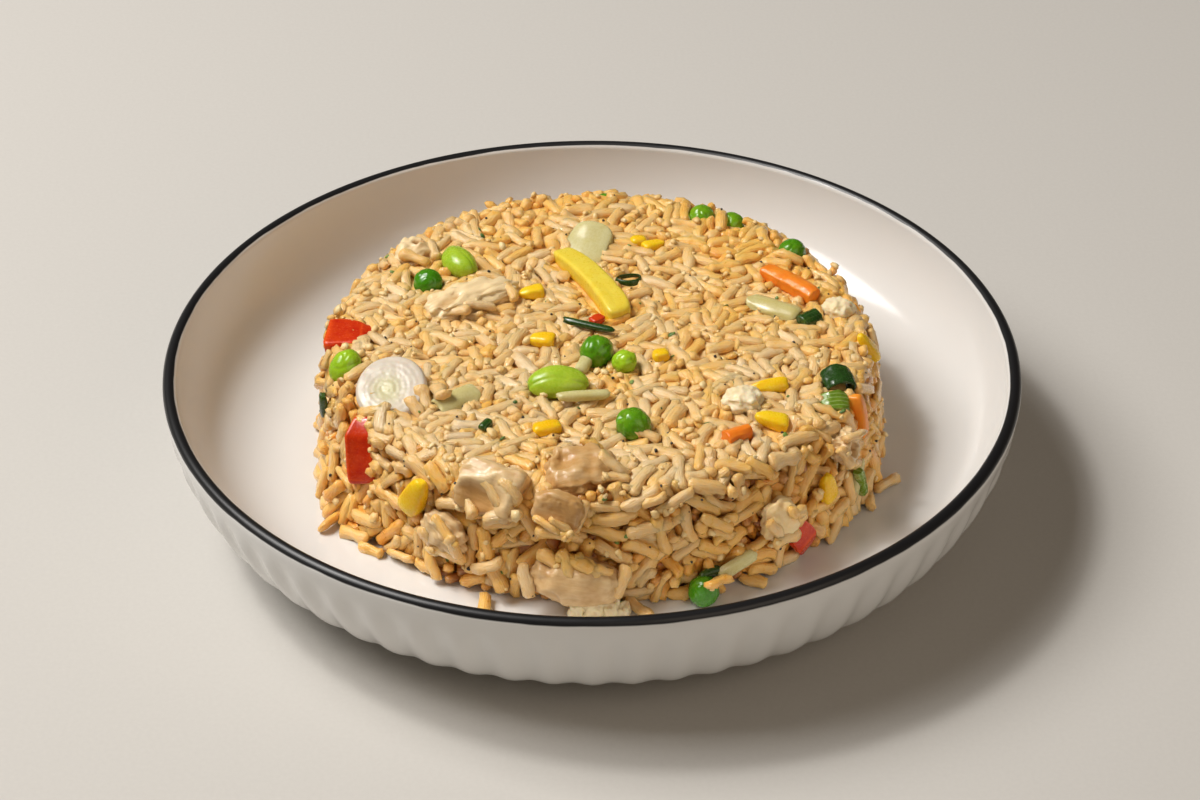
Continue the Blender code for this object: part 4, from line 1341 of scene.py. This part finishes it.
def scallionFinish(kind):
    # dark leaf with pale veins along it
    material, tree, shader, colour, local = foodMaterial(kind)
    veins = mathNode(tree, "SINE", mathNode(tree, "MULTIPLY", splitVector(tree, local)["Y"], 6.0))
    tone = attributeNode(tree, "tone").outputs["Fac"]
    share = mathNode(tree, "MULTIPLY", mapRange(tree, veins, 0.5, 1.0, 0.0, 0.55), tone)
    setShader(shader, colour=mixColour(tree, share, colour, foodLooks[kind]["vein"]))
    return material


# by piece: tone, 0 for the deeper colour of its kind and 1 for the paler, then what shapes it;
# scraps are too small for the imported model: (radius, azimuth, height, heading, half sizes), then tone
drumTop = drumShape["top"]

peaSettings = {
    "pea_back_left": (0.05, {"seed": 1.0}), "pea_left": (0.75, {"seed": 2.0}),
    "pea_centre": (0.20, {"seed": 3.1}), "pea_small": (0.80, {"seed": 4.0, "hollow": (0.5, 0.3, 1.0)}),
    "pea_front": (0.25, {"seed": 5.0, "hollow": (-0.55, -0.35, 0.9)}), "pea_back_a": (0.30, {"seed": 6.0}),
    "pea_back_b": (0.35, {"seed": 7.0}), "pea_right": (0.15, {"seed": 8.0}),
    "pea_base": (0.10, {"seed": 9.0}), "pea_peep": (0.20, {"seed": 10.0}),
}
beanSettings = {
    "bean_centre": (0.62, {"seed": 1.0, "size": (1.03, 1.0, 1.0)}),
    "bean_back_left": (0.55, {"seed": 2.0, "size": (1.22, 1.02, 1.0)}),
}
cornSizes = {"corn_j": 1.25}
cornScraps = (
    ((0.018, 322.0, drumTop, 20.0, (0.0021, 0.0017, 0.0015)), 0.35),
    ((0.042, 253.0, drumTop - 0.0002, 15.0, (0.0034, 0.0020, 0.0016)), 0.35),
    ((0.0412, 76.5, drumTop, 10.0, (0.0021, 0.0016, 0.0014)), 0.35),
)
carrotSettings = {
    "carrot_a": (0.6, {"seed": 1.0, "roughness": 0.22}), "carrot_c": (0.45, {"seed": 3.0, "roughness": 0.22}),
}
# carrot_b's tone is raised towards the paler colour, painted light on a piece that stands in shade
uprightCarrot = {"carrot_b": (0.75, {"seed": 2.0, "bow": 0.0, "size": (0.95, 0.72, 0.85)})}
yellowStrip = {"pepper_yellow": (0.6, {"seed": 1.0, "bow": 0.0014, "size": (1.02, 0.72, 1.0), "swell": 0.10})}
redSettings = {
    "pepper_red_a": (0.5, {"seed": 0.0, "ridgeAxis": 0, "ridge": 0.1, "drop": 3.4,
                           "size": (1.05, 1.20, 0.8)}),
    "pepper_red_b": (0.5, {"seed": 2.0, "ridgeAxis": 1, "ridge": 0.05, "drop": 1.9,
                           "size": (1.05, 1.25, 0.85), "bend": (0.45, 0.7)}),
    "pepper_red_c": (0.5, {"seed": 4.0, "ridgeAxis": 0, "ridge": -0.2, "drop": 0.9, "size": (1.1, 1.0, 0.9)}),
}
redScraps = (((0.0040, 102.0, drumTop + 0.0004, 40.0, (0.0018, 0.0014, 0.0009)), 0.5),)
leekSettings = {"leek_slice": (0.6, {"seed": 1.0, "crease": 0.4, "roughness": 0.10})}
onionSettings = {
    "leek_back": (0.65, {"seed": 3.0, "curl": 0.5, "size": (1.05, 1.3, 0.7), "tilt": 0.42}),
    "onion_left": (0.45, {"seed": 4.0, "curl": 1.2}), "onion_right": (0.35, {"seed": 5.0, "curl": 0.9}),
}
onionStrips = (
    ((0.0290, 262.0, drumTop + 0.0012, 6.0, (0.0062, 0.0013, 0.0009)), 0.5),
    ((0.0685, 331.0, 0.0216, 70.0, (0.0055, 0.0014, 0.0009)), 0.5),
    ((0.0700, 296.0, 0.0200, 20.0, (0.0050, 0.0017, 0.0010)), 0.5),
    ((0.0150, 255.0, drumTop + 0.0004, 70.0, (0.0034, 0.0016, 0.0009)), 0.5),
)
leafCut = {"seed": 2.0, "crease": 0.3, "roughness": 0.25}
scallionSettings = {"scallion_right": (0.10, leafCut), "scallion_tube": (0.0, leafCut),
                    "scallion_ribbed": (0.85, leafCut), "scallion_stalk": (1.0, leafCut)}
scallionRing = {"scallion_ring": (0.0, {"seed": 1.0, "reach": (0.0017, 0.0030), "band": 0.0007,
                                        "thick": 0.00030})}
scallionScraps = (
    ((0.0030, 160.0, drumTop + 0.0010, -22.0, (0.0066, 0.0010, 0.0006)), 0.0),
    ((0.0690, 291.0, 0.0189, 10.0, (0.0026, 0.0012, 0.0008)), 0.1),
    ((0.0675, 193.0, 0.0310, 80.0, (0.0036, 0.0014, 0.0008)), 0.1),
    ((0.0470, 236.0, drumTop + 0.0002, 60.0, (0.0018, 0.0012, 0.0008)), 0.2),
)
chickenSettings = {
    "chicken_back": (0.98, {"seed": 1.0, "power": 2.6, "ragged": 0.26, "fibre": 0.50, "lumps": 0.75,
                            "beads": 0.8, "hollow": (0.55, 0.1, 0.35, 0.5, 0.3)}),
    "chicken_shoulder": (0.50, {"seed": 2.3, "power": 6.0, "ragged": 0.10, "fibre": 0.16, "lumps": 0.30,
                                "beads": 0.3, "hollow": (-0.10, -0.70, 0.95, 0.95, 0.55)}),
    "chicken_edge": (0.18, {"seed": 3.0, "power": 3.0, "ragged": 0.20, "fibre": 0.10, "lumps": 0.75,
                            "beads": 1.6, "lobes": 0.8, "hollow": (0.42, -0.20, 0.42, 0.60, 0.34)}),
    "chicken_slab": (0.24, {"seed": 4.0, "power": 3.4, "ragged": 0.10, "fibre": 0.25, "lumps": 0.25,
                            "strandAxis": 1, "size": (1.35, 1.25, 1.0)}),
    "chicken_base": (0.36, {"seed": 5.0, "power": 2.1, "ragged": 0.06, "fibre": 0.12, "lumps": 0.65,
                            "lobes": 1.6, "strandAxis": 1, "size": (1.0, 1.0, 1.7)}),
    "chicken_left": (0.52, {"seed": 6.0, "power": 2.6, "ragged": 0.34, "fibre": 0.40, "lumps": 0.80,
                            "lobes": 1.5}),
    "chicken_right": (0.66, {"seed": 7.0, "power": 2.4, "ragged": 0.36, "fibre": 0.60, "lumps": 0.70,
                             "hollow": (0.1, 0.0, 0.5, 0.5, 0.6)}),
    "chicken_corner": (0.80, {"seed": 8.0, "power": 2.8, "ragged": 0.26, "fibre": 0.25, "lumps": 0.80,
                              "beads": 0.8, "hollow": (-0.2, -0.1, 0.35, 0.4, 0.7)}),
}
eggSettings = {
    "egg_front": (0.8, {"seed": 0.0}), "egg_right": (0.7, {"seed": 2.0}), "egg_side": (0.35, {"seed": 4.0}),
}
fallenEgg = {"radius": 0.0712, "tone": 0.75,  # curds on the plate in front: azimuth, size
             "curds": ((265.8, 0.0020), (268.6, 0.0026), (271.4, 0.0021), (273.8, 0.0016))}


def shapeParts(shape, settings):
    return [(toppings[name], shape(toppings[name], **values), tone)
            for name, (tone, values) in settings.items()]


def scrapParts(scraps, seed, power=4.0, curl=0.0):
    pieces = [(SmallPiece(*place), tone) for place, tone in scraps]
    return [(piece, scrapShape(piece, seed + index, power, curl), tone)
            for index, (piece, tone) in enumerate(pieces)]


def buildVegetables():
    joinPieces("peas", shapeParts(peaShape, peaSettings), plainFinish("peas"), list(peaSettings))
    joinPieces("edamame", shapeParts(beanShape, beanSettings), plainFinish("edamame"),
               list(beanSettings))
    cornNames = [name for name in toppings if name.startswith("corn_")]
    kernels = {name: (0.45 + 0.1 * math.sin(5.0 * index),
                      {"seed": 1.7 * index, "size": cornSizes.get(name, 1.0)})
               for index, name in enumerate(cornNames)}
    joinPieces("corn", shapeParts(kernelShape, kernels) + scrapParts(cornScraps, 3.0, 3.0),
               plainFinish("corn"), list(kernels))
    joinPieces("carrot", shapeParts(cutShape, carrotSettings) + shapeParts(stripShape, uprightCarrot),
               plainFinish("carrot"), ["carrot_a", "carrot_b", "carrot_c"])
    joinPieces("pepperYellow", shapeParts(stripShape, yellowStrip), skinFinish("pepperYellow"),
               ["pepper_yellow"])
    joinPieces("pepperRed", shapeParts(foldedShape, redSettings) + scrapParts(redScraps, 9.0),
               skinFinish("pepperRed"), list(redSettings))


def buildOnions():
    joinPieces("leekSlice", shapeParts(cutShape, leekSettings), leekFinish("leekSlice"),
               ["leek_slice"])
    joinPieces("onion", shapeParts(layerShape, onionSettings) + scrapParts(onionStrips, 5.0, 4.0, 0.3),
               plainFinish("onion"), list(onionSettings))
    leaves = shapeParts(cutShape, scallionSettings) + shapeParts(ringShape, scallionRing)
    joinPieces("scallion", leaves + scrapParts(scallionScraps, 11.0, 4.0, 0.4), scallionFinish("scallion"),
               ["scallion_ring", *scallionSettings])


def buildMeatAndEgg():
    joinPieces("chicken", shapeParts(meatShape, chickenSettings), plainFinish("chicken"),
               list(chickenSettings))
    parts = shapeParts(curdShape, eggSettings)
    for azimuth, size in fallenEgg["curds"]:
        fallen = SmallPiece(fallenEgg["radius"], azimuth, drumShape["base"] + 1.1 * size, azimuth,
                            (size, 0.9 * size, 1.15 * size))
        parts.append((fallen, curdShape(fallen, azimuth), fallenEgg["tone"]))
    joinPieces("egg", parts, plainFinish("egg"), list(eggSettings))


buildVegetables()
buildOnions()
buildMeatAndEgg()
print("toppings made")


# floor and lights

floorLook = {"dark": (0.565, 0.545, 0.510), "light": (0.605, 0.585, 0.548), "roughness": 0.85, "reach": 3.0}


def addStage():
    material, tree, shader = newMaterial("paleFloor")
    speck = noiseNode(tree, objectSpot(tree), 900.0, 2.0)
    setShader(shader, colour=mixColour(tree, speck, floorLook["dark"], floorLook["light"]),
              roughness=floorLook["roughness"])
    mesh = bpy.data.meshes.new("paleFloor")
    reach = floorLook["reach"]
    mesh.from_pydata([(-reach, -reach, 0.0), (reach, -reach, 0.0), (reach, reach, 0.0), (-reach, reach, 0.0)],
                     [], [(0, 1, 2, 3)])
    meshObject("paleFloor", mesh, material)


lightSettings = {
    "key": {"spot": (-0.86, 0.12, 1.23), "size": (0.95, 0.80), "power": 21.6, "colour": (1.0, 0.975, 0.95)},
    "spark": {"spot": (-0.70, 0.16, 1.32), "size": (0.17, 0.17), "power": 5.6, "colour": (1.0, 0.98, 0.95)},
    "fill": {"spot": (0.95, -1.15, 1.05), "size": (1.4, 1.4), "power": 6.4, "colour": (1.0, 0.84, 0.68)},
}
roomLook = {"colour": (1.0, 0.84, 0.67), "strength": 0.064}


def addLights():
    for name, settings in lightSettings.items():
        data = bpy.data.lights.new(name, "AREA")
        data.shape = "RECTANGLE"
        data.size, data.size_y = settings["size"]
        data.energy = settings["power"]
        data.color = settings["colour"]
        light = bpy.data.objects.new(name, data)
        light.location = settings["spot"]
        light.rotation_euler = (-Vector(settings["spot"])).to_track_quat("-Z", "Y").to_euler()
        scene.collection.objects.link(light)
    world = bpy.data.worlds.new("softRoom")
    world.use_nodes = True
    background = world.node_tree.nodes["Background"].inputs
    background["Color"].default_value = (*roomLook["colour"], 1.0)
    background["Strength"].default_value = roomLook["strength"]
    scene.world = world
    scene.view_settings.view_transform = "Standard"


addStage()
addLights()
print("stage lit")
